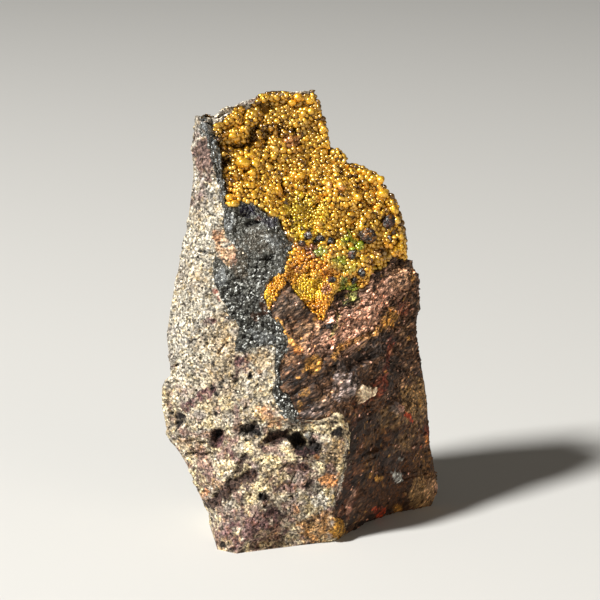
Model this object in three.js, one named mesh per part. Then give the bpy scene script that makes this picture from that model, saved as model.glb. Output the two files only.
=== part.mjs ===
// Goethite specimen: one broken block of volcanic rock with a goethite crust grown onto its upper front.
// Millimetres, +Z up. The block stands on its flat broken base at z = 0, with the origin under the
// middle of its bounding box. -Y is the side with the crust, +X the steep iron-stained side.
import * as THREE from 'three';

const RINGS = 54;                 // horizontal rings from the base to the crest
const COARSE_LUMP = 9;            // wavelength and height of the broken rock's lumps
const COARSE_HEIGHT = 0.9;
const FINE_LUMP = 4;              // wavelength and height of its smaller bumps
const FINE_HEIGHT = 0.35;
const LUMP_SEED = 11;
const CALM_HEIGHT = 4;            // lumps die out towards the base over this height

// Edge lines of the block, in order round it as seen from above, from the left edge across the front.
// Each runs from the base up to the crest as [x, y, z]. columns is the number of mesh columns to the
// next line, and lumpy is the share of the lumps that the line takes.
const EDGE_LINES = [
  { name: 'left edge', columns: 6, lumpy: 0.2, points: [
    [-21.5, -4, 0], [-22, -5.5, 4.5], [-23.5, -8, 9], [-25.5, -8, 14.5], [-28, -8, 19.5],
    [-30.5, -7, 23], [-32, -6.5, 28], [-33, -6, 32.5], [-30.5, -6, 39.5], [-31.5, -5, 48.5],
    [-29.5, -4, 60.5], [-28, -3, 68], [-26, -1.5, 77.5], [-25, -0.5, 86], [-25.5, 0.5, 93],
    [-24.2, 2, 100] ] },
  { name: 'pale face, left third', columns: 6, lumpy: 0.7, points: [
    [-19.5, -18.5, 0], [-17.5, -17.5, 12], [-20, -14, 23], [-26, -11, 34.5], [-26.5, -9.5, 46.5],
    [-26, -8.5, 58], [-24.5, -7, 70], [-24, -5, 79.5], [-23.5, -3, 89], [-24, -0.5, 97],
    [-23.5, 0.8, 101] ] },
  { name: 'pale face, middle', columns: 8, lumpy: 0.8, points: [
    [-15, -21.5, 0], [-9, -19.5, 12.5], [-11.5, -17.5, 24], [-18.5, -14.5, 35.5],
    [-20.5, -12.5, 47], [-22.5, -11, 58.5], [-20.5, -9.5, 70.5], [-21, -7, 80],
    [-21.5, -4.5, 89.5], [-23, -1.5, 97], [-22.8, 0.5, 101] ] },
  { name: 'rim of the dark crust', columns: 6, lumpy: 0.8, points: [
    [0.5, -15.5, 0], [0, -18.5, 12], [0, -17.5, 24], [-4, -16.5, 33], [-6.5, -15.5, 38],
    [-14, -14, 47.5], [-18, -12, 59], [-15, -11, 70.5], [-18, -8, 80], [-20, -5, 89.5],
    [-22, -1.5, 97], [-22.2, 0.8, 100.3] ] },
  { name: 'front corner', columns: 8, lumpy: 0.6, points: [
    [8.5, -12.5, 0], [8.5, -14, 3], [8, -15, 11], [11, -15.5, 22.5], [9, -16.5, 32.5], [2.5, -16, 39.5],
    [-2, -15, 48], [-4.5, -13, 57], [-4, -10.5, 68], [-9, -8, 77], [-14, -5.5, 84],
    [-17.5, -3, 89], [-20.5, -0.5, 96.5], [-21.3, 2, 99.3] ] },
  { name: 'botryoidal hollow, left', columns: 7, lumpy: 0.8, points: [
    [15.5, 0.5, 0], [16.3, -4.2, 3.5], [16.5, -5, 7.5], [16.5, -8.5, 20], [15.5, -11, 31], [11.5, -12.5, 38.5],
    [8, -12.5, 47], [6, -10.5, 56], [6.5, -6.5, 67.5], [2.5, -1.5, 76], [-3.5, 0.5, 82.5],
    [-9, 2, 88], [-13.5, 4, 95.5], [-13.5, 8, 102.5] ] },
  { name: 'botryoidal hollow, right', columns: 6, lumpy: 0.8, points: [
    [24, 9.5, 0], [24.5, 6, 3], [24.5, 4, 7], [24.5, 3, 16.5], [24, 1, 27.5], [21, -2, 35.5], [18.5, -4, 45],
    [17, -4.5, 54.5], [16, -1.5, 66], [14, 3, 75], [8.5, 4, 82], [2, 5.5, 87.5], [-3.5, 7, 95],
    [-6, 11, 104] ] },
  { name: 'right edge', columns: 7, lumpy: 0.2, points: [
    [32.5, 13.5, 0], [34.3, 14.5, 4], [32, 14, 15.5], [31, 13, 27.5], [29.5, 11, 37.5], [28, 10, 45],
    [28.5, 9, 54], [28.5, 8, 59.5], [25.5, 8, 64], [25, 8, 69.5], [24, 8.5, 73.5], [23, 9, 78],
    [20, 9.5, 81.5], [18.5, 10, 84.5], [12.5, 10.5, 86], [10.5, 11, 88.5], [7.5, 11.5, 90.5],
    [6, 12, 95.5], [5, 12.5, 100], [3, 13, 104] ] },
  { name: 'back, right', columns: 9, lumpy: 1, points: [
    [22, 22, 0], [23, 25, 10], [21.5, 25, 28], [18.5, 21, 46], [19, 22, 58], [15.5, 18.5, 72],
    [10, 18.5, 84], [4, 17, 97], [1, 16.2, 104.5] ] },
  { name: 'back, middle', columns: 9, lumpy: 1, points: [
    [-4, 23, 0], [-3, 27, 8], [-7, 28, 26], [-5, 24.5, 44], [-8, 25.5, 56], [-9, 19.5, 72],
    [-10, 18, 86], [-11, 14.5, 102.3] ] },
  { name: 'back, left', columns: 8, lumpy: 0.9, points: [
    [-20, 12, 0], [-26, 15, 12], [-28.5, 15, 26], [-30, 10.5, 40], [-27, 14, 56], [-25, 10, 74],
    [-22.5, 10.5, 88], [-21, 8.5, 98] ] },
];

// Hollows in the front, each an ellipse seen from the front: its centre, half sizes and depth.
const HOLLOWS = [
  { name: 'big cavity under the crust', x: -1.5, z: 27.5, halfWidth: 8, halfHeight: 4, depth: 3.5 },
  { name: 'small cavity beside it', x: -12, z: 28.7, halfWidth: 4, halfHeight: 3.4, depth: 1.5 },
  { name: 'undercut of the front of the base', x: -6, z: 0, halfWidth: 8, halfHeight: 4, depth: 3 },
  { name: 'hollow under the lip of the golden crust', x: -12, z: 77, halfWidth: 6, halfHeight: 5, depth: 1.5 },
];

// Fracture planes that cut off the lumps of the back and of the lower edges: everything further than
// reach along the direction is broken off.
const FRACTURES = [
  { direction: [0.08, 1, 0.075], reach: 26.2 },
  { direction: [-0.25, 1, 0.2], reach: 35 },
  { direction: [0.15, 1, 0.36], reach: 50.8 },
  { direction: [-0.75, 0.65, 0.05], reach: 29.5 },
  { direction: [0.6, 0.8, 0.1], reach: 32.6 },
  { direction: [0.35, 0.9, -0.45], reach: 24 },
  { direction: [-0.5, 0.8, -0.4], reach: 18.8 },
];

// The point of an edge line at a share of its height.
function pointOnLine(line, share) {
  const points = line.points;
  const z = share * points.at(-1)[2];
  const upper = Math.max(1, points.findIndex((point) => point[2] >= z - 1e-9));
  const low = new THREE.Vector3(...points[upper - 1]);
  const high = new THREE.Vector3(...points[upper]);
  return low.lerp(high, (z - low.z) / (high.z - low.z));
}

// A repeatable number from -1 to 1 for each corner of a cubic lattice.
function latticeValue(i, j, k) {
  let hash = Math.imul(i, 374761393) ^ Math.imul(j, 668265263) ^ Math.imul(k, 2147483647) ^ LUMP_SEED;
  hash = Math.imul(hash ^ (hash >>> 13), 1274126177);
  hash = Math.imul(hash ^ (hash >>> 15), 2246822519);
  return ((hash ^ (hash >>> 16)) >>> 0) / 2147483648 - 1;
}

// Smooth lumps: the lattice values blended between the corners round a point.
function lumps(point, wavelength) {
  const scaled = point.clone().divideScalar(wavelength);
  const cell = scaled.clone().floor();
  const [u, v, w] = scaled.sub(cell).toArray().map((f) => f * f * (3 - 2 * f));
  let sum = 0;
  for (let corner = 0; corner < 8; corner += 1) {
    const [a, b, c] = [corner & 1, (corner >> 1) & 1, corner >> 2];
    const weight = (a ? u : 1 - u) * (b ? v : 1 - v) * (c ? w : 1 - w);
    sum += weight * latticeValue(cell.x + a, cell.y + b, cell.z + c);
  }
  return sum;
}

// How deep the hollows reach at a point of the front.
function hollowDepth(point) {
  let depth = 0;
  for (const hollow of HOLLOWS) {
    const across = (point.x - hollow.x) / hollow.halfWidth;
    const up = (point.z - hollow.z) / hollow.halfHeight;
    const reach = across * across + up * up;
    if (reach < 1) depth = Math.max(depth, hollow.depth * (1 - reach));
  }
  return depth;
}

function breakOff(point) {
  for (const { direction, reach } of FRACTURES) {
    const normal = new THREE.Vector3(...direction);
    const beyond = (point.dot(normal) - reach) / normal.lengthSq();
    if (beyond > 0) point.addScaledVector(normal, -beyond);
  }
  return point;
}

// The lofted block, before its lumps: rings of points on and between the edge lines, then the middles
// of the base and of the crest. shares holds what each column takes of the lumps.
function loftPoints() {
  const points = [];
  const shares = [];
  for (let ring = 0; ring <= RINGS; ring += 1) {
    EDGE_LINES.forEach((line, index) => {
      const next = EDGE_LINES[(index + 1) % EDGE_LINES.length];
      const start = pointOnLine(line, ring / RINGS);
      const end = pointOnLine(next, ring / RINGS);
      for (let column = 0; column < line.columns; column += 1) {
        const across = column / line.columns;
        points.push(breakOff(start.clone().lerp(end, across)));
        shares.push(THREE.MathUtils.lerp(line.lumpy, next.lumpy, across));
      }
    });
  }
  return { points, shares };
}

function middleOf(points) {
  const middle = new THREE.Vector3();
  points.forEach((point) => middle.add(point));
  return middle.divideScalar(points.length);
}

// Triangles of the closed surface: a strip between each ring and the next, and a fan at each end.
function surfaceTriangles(columns, baseMiddle, crestMiddle) {
  const triangles = [];
  const top = RINGS * columns;
  for (let column = 0; column < columns; column += 1) {
    const next = (column + 1) % columns;
    triangles.push(baseMiddle, next, column);
    triangles.push(crestMiddle, top + column, top + next);
    for (let ring = 0; ring < RINGS; ring += 1) {
      const low = ring * columns;
      const high = low + columns;
      triangles.push(low + column, low + next, high + next);
      triangles.push(low + column, high + next, high + column);
    }
  }
  return triangles;
}

function asGeometry(points, triangles) {
  const geometry = new THREE.BufferGeometry();
  geometry.setAttribute('position', new THREE.Float32BufferAttribute(points.flatMap((p) => p.toArray()), 3));
  geometry.setIndex(triangles);
  geometry.computeVertexNormals();
  return geometry;
}

function specimenGeometry() {
  const { points, shares } = loftPoints();
  const columns = EDGE_LINES.reduce((sum, line) => sum + line.columns, 0);
  const baseMiddle = points.push(middleOf(points.slice(0, columns))) - 1;
  const crestMiddle = points.push(middleOf(points.slice(RINGS * columns, baseMiddle))) - 1;
  const triangles = surfaceTriangles(columns, baseMiddle, crestMiddle);
  const normals = asGeometry(points, triangles).getAttribute('normal');

  points.forEach((point, index) => {
    if (index >= baseMiddle) return;
    const normal = new THREE.Vector3().fromBufferAttribute(normals, index);
    const share = shares[index] * Math.min(1, point.z / CALM_HEIGHT);
    const rise = COARSE_HEIGHT * lumps(point, COARSE_LUMP) + FINE_HEIGHT * lumps(point, FINE_LUMP);
    const onFront = Math.max(0, -normal.y);
    point.addScaledVector(normal, share * rise - onFront * hollowDepth(point));
    point.z = index < columns ? 0 : Math.max(point.z, 0);
  });
  const geometry = asGeometry(points, triangles);
  geometry.computeBoundingBox();
  const middle = geometry.boundingBox.getCenter(new THREE.Vector3());
  return geometry.translate(-middle.x, -middle.y, 0);
}

const rock = new THREE.MeshStandardMaterial({ color: 0xa8977a, roughness: 0.9, metalness: 0 });
const specimen = new THREE.Mesh(specimenGeometry(), rock);
specimen.name = 'goethite_specimen';

const model = new THREE.Group();
model.add(specimen);

export default model;
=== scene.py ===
"""Goethite specimen: a broken block of volcanic rock with a golden botryoidal goethite crust.

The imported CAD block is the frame. The host rock is the block itself, cut finer and roughened. The
golden, dark and iron crusts are closed shells grown on it: each takes the block's surface inside its own
outline and raises it. Beads, lumps, nodules and grains are crowds of small closed solids that stand on
the crusts. Lengths are in millimetres until a mesh is made."""

from itertools import product

import bmesh
import bpy
import numpy as np
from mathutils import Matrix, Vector
from mathutils.bvhtree import BVHTree
from mathutils.kdtree import KDTree


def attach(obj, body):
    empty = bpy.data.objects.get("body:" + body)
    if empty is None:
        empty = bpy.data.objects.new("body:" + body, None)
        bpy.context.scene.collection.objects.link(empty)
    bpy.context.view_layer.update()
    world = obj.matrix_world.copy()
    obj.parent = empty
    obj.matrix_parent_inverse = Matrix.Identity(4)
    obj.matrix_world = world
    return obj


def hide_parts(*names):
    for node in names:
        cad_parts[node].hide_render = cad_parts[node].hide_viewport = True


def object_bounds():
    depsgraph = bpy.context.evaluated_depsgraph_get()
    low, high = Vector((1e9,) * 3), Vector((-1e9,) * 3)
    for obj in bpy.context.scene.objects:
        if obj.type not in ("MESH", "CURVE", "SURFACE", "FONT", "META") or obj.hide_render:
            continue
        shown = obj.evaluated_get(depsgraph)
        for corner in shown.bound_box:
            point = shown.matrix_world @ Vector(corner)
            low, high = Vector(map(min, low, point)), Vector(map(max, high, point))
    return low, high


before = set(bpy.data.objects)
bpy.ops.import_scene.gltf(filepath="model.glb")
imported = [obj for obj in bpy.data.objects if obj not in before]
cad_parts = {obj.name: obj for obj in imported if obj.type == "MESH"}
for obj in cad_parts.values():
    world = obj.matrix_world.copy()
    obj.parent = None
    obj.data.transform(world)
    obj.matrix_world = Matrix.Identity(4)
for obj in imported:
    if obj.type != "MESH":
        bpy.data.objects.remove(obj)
cad_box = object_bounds()

MM = 0.001
NODE = "goethite_specimen"
SEED = 7

# The camera stands where the photograph was taken from. Outlines and spots below are given in pixels
# of that 600 by 600 picture, and the same camera lays them on the surface.
CAMERA_RISE = np.radians(14.0)
CAMERA_DISTANCE = 600.0
PICTURE_SIZE = 600
PIXELS_PER_MM = 4.209
LOOK_AT = np.array([-0.7, -2.23, 56.0])
SENSOR_WIDTH = 36.0
RIGHT = np.array([1.0, 0.0, 0.0])
UP = np.array([0.0, np.sin(CAMERA_RISE), np.cos(CAMERA_RISE)])
AHEAD = np.array([0.0, np.cos(CAMERA_RISE), -np.sin(CAMERA_RISE)])
CAMERA_PLACE = LOOK_AT - AHEAD * CAMERA_DISTANCE

# The longest edge allowed in each piece's mesh.
GOLD_EDGE = 0.36
DARK_EDGE = 0.22
IRON_EDGE = 0.34
FACE_EDGE = 0.46
BACK_EDGE = 1.4
HIDDEN_EDGE = 2.5
EDGE_GROWTH = 0.5       # how much longer an edge may be for each millimetre that it lies outside a border
FACE_FROM = -0.03       # the facing from which the host rock counts as its face, and not its back
HIDDEN_FROM = 1.5       # how far inside the crusts' border the host rock counts as hidden
MOST_CUTS = 9           # how often an edge may be halved
ROUNDING = 0.6          # share of the way from a flat facet to one that bends with its corners' normals
BOX_MARGIN = 0.05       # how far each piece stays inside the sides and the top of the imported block's box

# How borders and spots lie on the surface.
DRIFT = 1.4             # how far a border strays from its line, in pixels
RAGGED = 0.42           # how uneven a spot's edge is, as a share of its size
WRAP = 5.0              # how many millimetres one unit of facing counts for at the silhouette
WRAP_LIMIT = -0.15      # the facing at which a crust ends, just past the silhouette

# How a crust's shell is grown and closed.
MARGIN = 0.7            # how far its skin runs on past its border
SOFTENING = 4           # how often the normals that it grows along are averaged with their neighbours'
TUCK = 1.5              # how deep its rim turns into the rock
LEAST_TUCK = 0.05       # and how deep where the block is too thin for that
THIN_LIP = 0.15         # the facing below which a rim, on the back of the thin lip, isn't turned in more
GOLD_BURIED = 9.0       # how deep under its rim the point lies that the gold's hidden back ends in
DARK_BURIED = 6.0       # the same for the dark crust
IRON_BURIED = 8.0       # and for the stained rock
SKIN_SHARE = 0.3        # how far a skin may sink, as a share of the block's thickness there
HIDDEN_SHARE = 0.42     # how far its hidden back may
HOST_SHARE = 0.4        # how far the host rock may
DEEPEST_COVER = 4.5     # how deep under the surface the hidden back lies where the block is thick enough
LONG_RIM = 60           # a rim of more points than this is a border, and a shorter one is a small gap
RING_SHARES = (0.06, 0.16, 0.32, 0.6)      # where the back's rings lie on the way to the buried point
LOWEST_SKIN = 0.05      # how high over the floor a crust's lowest points stay
LOWEST_SIDE = 0.02      # and those of the host rock's sides
RAY_START = 0.02        # how far under the surface a ray starts that measures the block's thickness

# How the balls of a heap differ.
HEAP_VARIETY = 0.25     # how much longer or shorter each of a ball's lengths may be, as a share of it
HEAP_LIFT = 0.35        # how much higher or lower a ball may sit, as a share of its size
HEAP_STRAY = 0.25       # how far a ball's direction strays from the heap's

# The golden beads and the iron grains: their radii, what chance adds to them at most, the share of beads
# that are large, how far apart they stand, and their lengths along, across and up.
BEAD_SIZE = 0.46
BEAD_SPREAD = 0.19
LARGE_BEAD_SIZE = 0.63
LARGE_BEAD_SPREAD = 0.25
LARGE_BEAD_SHARE = 0.06
BEAD_CROWDING = 0.645
BEAD_SHAPE = (1.15, 1, 0.9)
BEAD_UNEVENNESS = 0.16
GRAIN_SIZE = 0.18
GRAIN_SPREAD = 0.2
GRAIN_SHARES = (0.012, 0.1, 0.5)        # everywhere, added in the upper part, and added in the green patch
GRAIN_CROWDING = 0.85
GRAIN_SHAPE = (1.7, 0.9, 0.8)
GRAIN_UNEVENNESS = 0.3

# The directions that the stained rock and the host rock are combed in, and the pale fragment's blades.
COMB = np.array([0.82, 0.0, 0.57])
HOST_COMB = np.array([0.8, 0.0, 0.45])
BLADES = np.array([0.5, 0.0, 0.86])

# The studio, in metres.
FLOOR_HALF = 2.0
FLOOR_COLOUR = (0.62, 0.62, 0.6)
SKY_COLOUR = (0.86, 0.82, 0.76, 1)
SKY_STRENGTH = 0.09
LIGHT_TARGET = (0, 0, 0.05)
# Each light's name, place, width, power and colour.
LIGHTS = [
    ("key", (-1.15, -0.85, 1.55), 0.34, 76, (1.0, 0.98, 0.95)),
    ("fill", (1.2, -1.2, 0.6), 1.0, 4.5, (1.0, 0.84, 0.66)),
]

# Borders between the regions, as lines of pixels. Each runs from its upper or left end.
GOLD_TOP = [
    (207, 118), (209, 118), (217, 122), (222, 121), (226, 117), (231, 112), (235, 108), (239, 105),
    (243, 107), (247, 108), (251, 106), (254, 100), (256, 94), (260, 84), (286, 84), (289, 93),
    (296, 94), (303, 93), (308, 94), (311, 84),
]
GOLD_BEYOND = [(330, 84), (360, 130), (400, 160), (425, 220), (430, 260)]
DARK_GOLD = [
    (207, 118), (208, 123), (212, 128), (215, 137), (217, 142), (220, 149), (221, 155), (222, 161),
    (223, 170), (223, 177), (226, 184), (228, 192), (225, 198), (225, 204), (228, 207), (234, 207),
    (238, 205), (242, 201), (246, 203), (253, 202), (257, 206), (266, 212), (273, 217), (279, 220),
    (282, 229), (288, 237), (293, 240), (295, 242), (292, 249), (288, 252), (288, 259), (285, 264),
    (284, 272), (280, 272), (275, 274), (269, 282), (267, 288), (264, 295), (265, 302), (268, 308),
    (270, 310),
]
DARK_IRON = [
    (270, 310), (272, 318), (277, 323), (281, 329), (285, 336), (289, 342), (285, 348), (282, 357),
    (279, 365), (279, 376), (280, 388), (284, 394), (289, 395), (293, 404), (297, 413), (300, 424),
]
GOLD_IRON = [
    (270, 310), (273, 302), (276, 299), (278, 292), (284, 287), (287, 281), (290, 282), (292, 287),
    (295, 292), (300, 298), (304, 304), (309, 311), (315, 316), (321, 323), (324, 321), (327, 315),
    (329, 308), (334, 301), (334, 295), (339, 292), (346, 290), (358, 292), (362, 289), (368, 285),
    (371, 280), (371, 274), (376, 272), (383, 269), (386, 266), (389, 262), (391, 258), (398, 258),
    (405, 260), (430, 260),
]
IRON_BEYOND = [(440, 300), (450, 480), (445, 520), (420, 530), (365, 535), (340, 562)]
PALE_DARK = [
    (207, 118), (203, 126), (203, 130), (205, 136), (206, 146), (210, 152), (210, 158), (212, 168),
    (216, 178), (219, 187), (219, 196), (220, 203), (222, 210), (223, 216), (222, 223), (222, 229),
    (225, 234), (229, 239), (231, 244), (237, 248), (239, 255), (237, 261), (234, 267), (228, 268),
    (224, 263), (218, 257), (214, 255), (213, 263), (213, 272), (215, 281), (217, 291), (221, 298),
    (226, 309), (230, 317), (238, 324), (238, 337), (234, 350), (243, 352), (250, 348), (260, 346),
    (270, 345), (276, 349), (274, 355), (275, 365), (273, 372), (276, 383), (271, 391), (276, 403),
    (280, 410), (285, 413), (290, 419), (300, 424),
]
PALE_IRON = [
    (300, 424), (313, 425), (326, 420), (336, 413), (347, 419), (351, 433), (349, 448), (347, 460),
    (346, 471), (343, 485), (339, 495), (335, 505), (331, 514), (337, 518), (344, 524), (345, 534),
    (340, 562),
]
GOLD_THIN = DARK_GOLD[:12]      # where the gold is thin, along the spur
GOLD_LIP = DARK_GOLD[13:27]     # where it rises in a lip over the dark crust


def outline(*lines):
    """Joins border lines end to end into one closed outline."""
    points = []
    for line in lines:
        points += [point for point in line if point not in points]
    return points


GOLD_OUTLINE = outline(GOLD_TOP, GOLD_BEYOND, GOLD_IRON[::-1], DARK_GOLD[::-1])
DARK_OUTLINE = outline(DARK_GOLD, DARK_IRON, PALE_DARK[::-1])
IRON_OUTLINE = outline(DARK_IRON[::-1], GOLD_IRON, IRON_BEYOND, PALE_IRON[::-1])
CRUST_OUTLINE = outline(PALE_DARK, PALE_IRON, IRON_BEYOND[::-1], GOLD_BEYOND[::-1], GOLD_TOP[::-1])
FRAGMENT_OUTLINE = [
    (356, 392), (360, 385), (363, 386), (366, 390), (369, 385), (370, 391), (375, 387), (376, 391),
    (371, 397), (366, 399), (359, 405), (359, 399),
]

# An oval in the picture is its middle, half width and half height in pixels, and then, if it isn't level,
# its tilt in degrees. A relief is a list of rises in millimetres, each with its oval. A list of spots has
# a colour and a strength for each oval. A list of streaks has a colour, a line, a half width in pixels and
# a strength for each, and a list of cracks a line, a half width and a rise.

# Relief of the golden crust.
GOLD_RELIEF = [
    (-1.2, 219, 138, 4, 6), (-2.0, 227, 162, 5, 9, 20), (-2.2, 239, 146, 10, 4, 10), (-2.0, 251, 136, 5, 9),
    (-1.4, 259, 126, 7, 5, -20), (-1.4, 266, 136, 6, 8), (-1.0, 261, 147, 7, 4), (-0.6, 255, 108, 5, 3),
    (-0.6, 268, 108, 4, 4, 20), (-1.2, 281, 126, 4, 6), (-1.0, 283, 138, 5, 4), (-0.8, 302, 102, 4, 4, 20),
    (-1.2, 297, 108, 5, 3), (-1.4, 318, 108, 5, 3), (-1.0, 293, 130, 8, 4), (-1.8, 341, 174, 6, 5, 40),
    (-1.2, 323, 179, 5, 3), (-1.0, 259, 187, 4, 3, 40), (-1.6, 283, 187, 2.5, 9, -20),
    (-1.4, 305, 178, 2.5, 5, -20), (-1.4, 303, 198, 3.5, 4), (-1.0, 233, 198, 3, 4),
    (-1.3, 343, 193, 5, 3, 20), (-1.2, 350, 196, 4, 3), (-1.4, 340, 236, 7, 6, -40), (-0.9, 318, 204, 4, 3),
    (-0.8, 310, 160, 5, 4), (-1.0, 245, 172, 4, 3), (-0.8, 275, 163, 5, 3, 20), (-1.0, 392, 205, 4, 3),
    (-1.0, 369, 188, 4, 3, 30), (-0.8, 372, 205, 6, 4, -20), (-1.0, 398, 230, 5, 3, -30),
    (-0.7, 354, 222, 8, 4, -20), (-0.7, 346, 209, 7, 3, 20), (1.1, 232, 134, 5, 4, -30),
    (1.1, 243, 131, 4, 6, 20), (0.7, 249, 152, 9, 4), (0.9, 243, 163, 7, 4, 10), (0.9, 253, 176, 4, 4),
    (0.7, 255, 163, 4, 4), (0.6, 261, 96, 4, 3), (0.7, 266, 98, 3, 3), (0.7, 274, 100, 4, 4),
    (0.6, 304, 96, 3, 3), (0.5, 291, 97, 5, 4), (0.5, 322, 129, 4, 3), (0.5, 337, 153, 5, 4, 30),
    (0.5, 352, 170, 6, 4, 40), (0.6, 376, 177, 6, 3, 20), (1.1, 336, 171, 3, 3), (1.1, 341, 186, 3.5, 3),
    (0.8, 330, 185, 3, 3), (0.9, 275, 187, 6, 7), (0.7, 301, 177, 5, 4), (0.7, 301, 197, 3.5, 3.5),
    (0.7, 318, 223, 3.5, 3.5), (0.7, 357, 196, 4, 4), (0.7, 385, 193, 5, 4), (0.8, 397, 223, 4, 4),
    (0.6, 401, 237, 3, 3), (0.6, 255, 118, 7, 4, -10), (0.5, 232, 118, 6, 4, -30), (0.4, 312, 140, 6, 5),
    (0.6, 230, 186, 4, 4), (0.7, 231, 204, 4, 3), (0.4, 268, 202, 6, 4, 20), (-1.0, 275, 88, 13, 5),
    (-2.0, 319, 92, 6, 8), (-1.2, 327, 120, 4, 9), (-0.8, 370, 167, 7, 4, 30), (-1.8, 407, 230, 6, 20),
]

# Rounded lumps that stand out of the gold. Each oval gives its tilt.
GOLD_LUMPS = [
    (243, 164, 7.6, 4.5, 5), (232, 136, 5, 3.5, -20), (243, 131, 2.7, 4, 20), (252, 174, 4, 4.5, 0),
    (249, 156, 7, 3.5, 0), (229, 198, 4, 4, 0), (233, 204, 4, 3.5, 0), (297, 97, 5, 4.5, 0),
    (274, 100, 3.5, 3.5, 0), (266, 97, 3.5, 3, 0), (260, 95, 3, 3, 0), (291, 101, 5, 4, 0),
    (310, 102, 4.5, 4.5, 0), (323, 129, 4, 3.5, 0), (277, 121, 3.5, 3, 0), (300, 117, 3.5, 3, 0),
    (295, 125, 3, 3.5, 0), (306, 140, 4, 3, 0), (291, 179, 3, 3, 0), (295, 178, 3, 3, 0),
    (300, 176, 4, 4, 0), (278, 191, 4, 6, -10), (300, 196, 3.5, 4, 0), (316, 171, 3, 3.5, 0),
    (336, 171, 3, 3, 0), (341, 187, 3.5, 3, 0), (330, 185, 3, 3, 0), (322, 218, 2.5, 3, 0),
    (318, 224, 3.5, 3.5, 0), (358, 197, 4, 4, 0), (363, 189, 2.6, 2.6, 0), (379, 178, 4.5, 4.5, 0),
    (371, 180, 4, 3, 0), (383, 194, 6, 4.5, 0), (397, 222, 4, 4.5, 0), (401, 237, 3.5, 3, 0),
    (394, 209, 3, 5, 0), (262, 141, 3, 3, 0), (285, 108, 3, 3, 0), (318, 108, 3, 4, 0), (255, 186, 3, 3, 0),
    (268, 169, 4, 3, 20), (346, 205, 3, 3, 0), (329, 199, 3.4, 3, 0), (375, 208, 4, 3, 0),
    (352, 172, 4, 3.4, 30), (365, 172, 3.4, 3, 0), (310, 186, 3, 3, 0),
]

# Dark rounded nodules in the gold, given in the same way.
NODULES = [
    (307, 235, 4.6, 4.2, 0), (318, 240.5, 6.5, 4, -25), (330, 243, 4.4, 4.4, 0), (301, 244, 3.4, 3, 0),
    (351.5, 256, 4.2, 4.6, 0), (366.5, 235.5, 8.6, 7.6, 0), (387, 221, 6, 7.4, 30), (390.5, 240, 3, 5, 0),
    (362, 273, 4.2, 4.5, 0), (354, 280, 2.8, 4.6, 20), (332, 281, 4.6, 3, -20),
]

FINE_GOLD = (306, 216, 26, 22)          # the oval where the gold's beads are finest
BROWN_LUMP = (291, 303, 22, 16, 20)     # the lump of stained rock between the gold's lobes
GREEN_GRAINS = (351, 298, 12, 9)        # where the stained rock's grains crowd most


# Surface patterns. Each takes points as an array of [x, y, z] and gives one number a point. Each use of
# one has its own seed or wavelength, so that no two patterns lie alike.

LATTICE_PRIMES = (374761393, 668265263, 2147483647, 974634777)
MIXING = ((np.uint64(13), np.uint64(1274126177)), (np.uint64(15), np.uint64(2246822519)))
LOW_32_BITS = np.uint64(0xFFFFFFFF)
LOW_24_BITS = np.uint64(0xFFFFFF)


def hashed(i, j, k, seed):
    """A repeatable number from 0 to 1 for each corner or cell of a cubic lattice."""
    parts = (i, j, k, SEED + seed)
    mixed = sum(part * prime for part, prime in zip(parts, LATTICE_PRIMES)).astype(np.uint64)
    for shift, prime in MIXING:
        mixed = (mixed ^ (mixed >> shift)) * prime & LOW_32_BITS
    return ((mixed ^ (mixed >> np.uint64(16))) & LOW_24_BITS) / float(LOW_24_BITS)


def lumps(points, wavelength, seed):
    """Smooth noise from -1 to 1."""
    scaled = points / wavelength
    cell = np.floor(scaled).astype(np.int64)
    f = scaled - cell
    f = f * f * (3 - 2 * f)
    total = np.zeros(len(points))
    for a, b, c in product((0, 1), repeat=3):
        weight = (f[:, 0] if a else 1 - f[:, 0]) * (f[:, 1] if b else 1 - f[:, 1])
        weight = weight * (f[:, 2] if c else 1 - f[:, 2])
        total += weight * hashed(cell[:, 0] + a, cell[:, 1] + b, cell[:, 2] + c, seed)
    return total * 2 - 1


def rough(points, wavelength, octaves, seed):
    """Noise of several sizes, each half as long and half as high as the last."""
    total = np.zeros(len(points))
    for octave in range(octaves):
        total += lumps(points, wavelength / 2 ** octave, seed + octave) / 2 ** octave
    return total


def near_cells(points, spacing, seed):
    """For each of the 27 cells round each point, its jittered centre and a random number."""
    cell = np.floor(points / spacing).astype(np.int64)
    for a, b, c in product((-1, 0, 1), repeat=3):
        i, j, k = cell[:, 0] + a, cell[:, 1] + b, cell[:, 2] + c
        jitter = np.stack([hashed(i, j, k, seed + axis) for axis in (0, 1, 2)], 1)
        yield (np.stack([i, j, k], 1) + jitter) * spacing, hashed(i, j, k, seed + 3)


def chips(points, spacing, seed):
    """Flat facets that tilt every way, as on broken rock: about -0.5 to 0.5 times the spacing."""
    nearest = np.full(len(points), np.inf)
    height = np.zeros(len(points))
    for centre, pick in near_cells(points, spacing, seed):
        offset = points - centre
        distance = (offset ** 2).sum(1)
        closer = distance < nearest
        angle = pick * 2 * np.pi * 3
        tilt = offset[:, 0] * np.cos(angle) + offset[:, 1] * np.sin(angle)
        tilt += offset[:, 2] * np.sin(angle * 2)
        nearest = np.where(closer, distance, nearest)
        height = np.where(closer, tilt * 0.5 + (pick - 0.5) * 0.3 * spacing, height)
    return height


def pits(points, spacing, share, smallest, largest, seed):
    """Round holes: depth from 0 to the hole's radius. share of the cells hold one."""
    depth = np.zeros(len(points))
    for centre, pick in near_cells(points, spacing, seed):
        radius = smallest + (largest - smallest) * (pick / share) ** 2
        inside = 1 - ((points - centre) ** 2).sum(1) / radius ** 2
        depth = np.maximum(depth, np.where(pick < share, radius * np.sqrt(np.maximum(inside, 0)), 0))
    return depth


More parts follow.
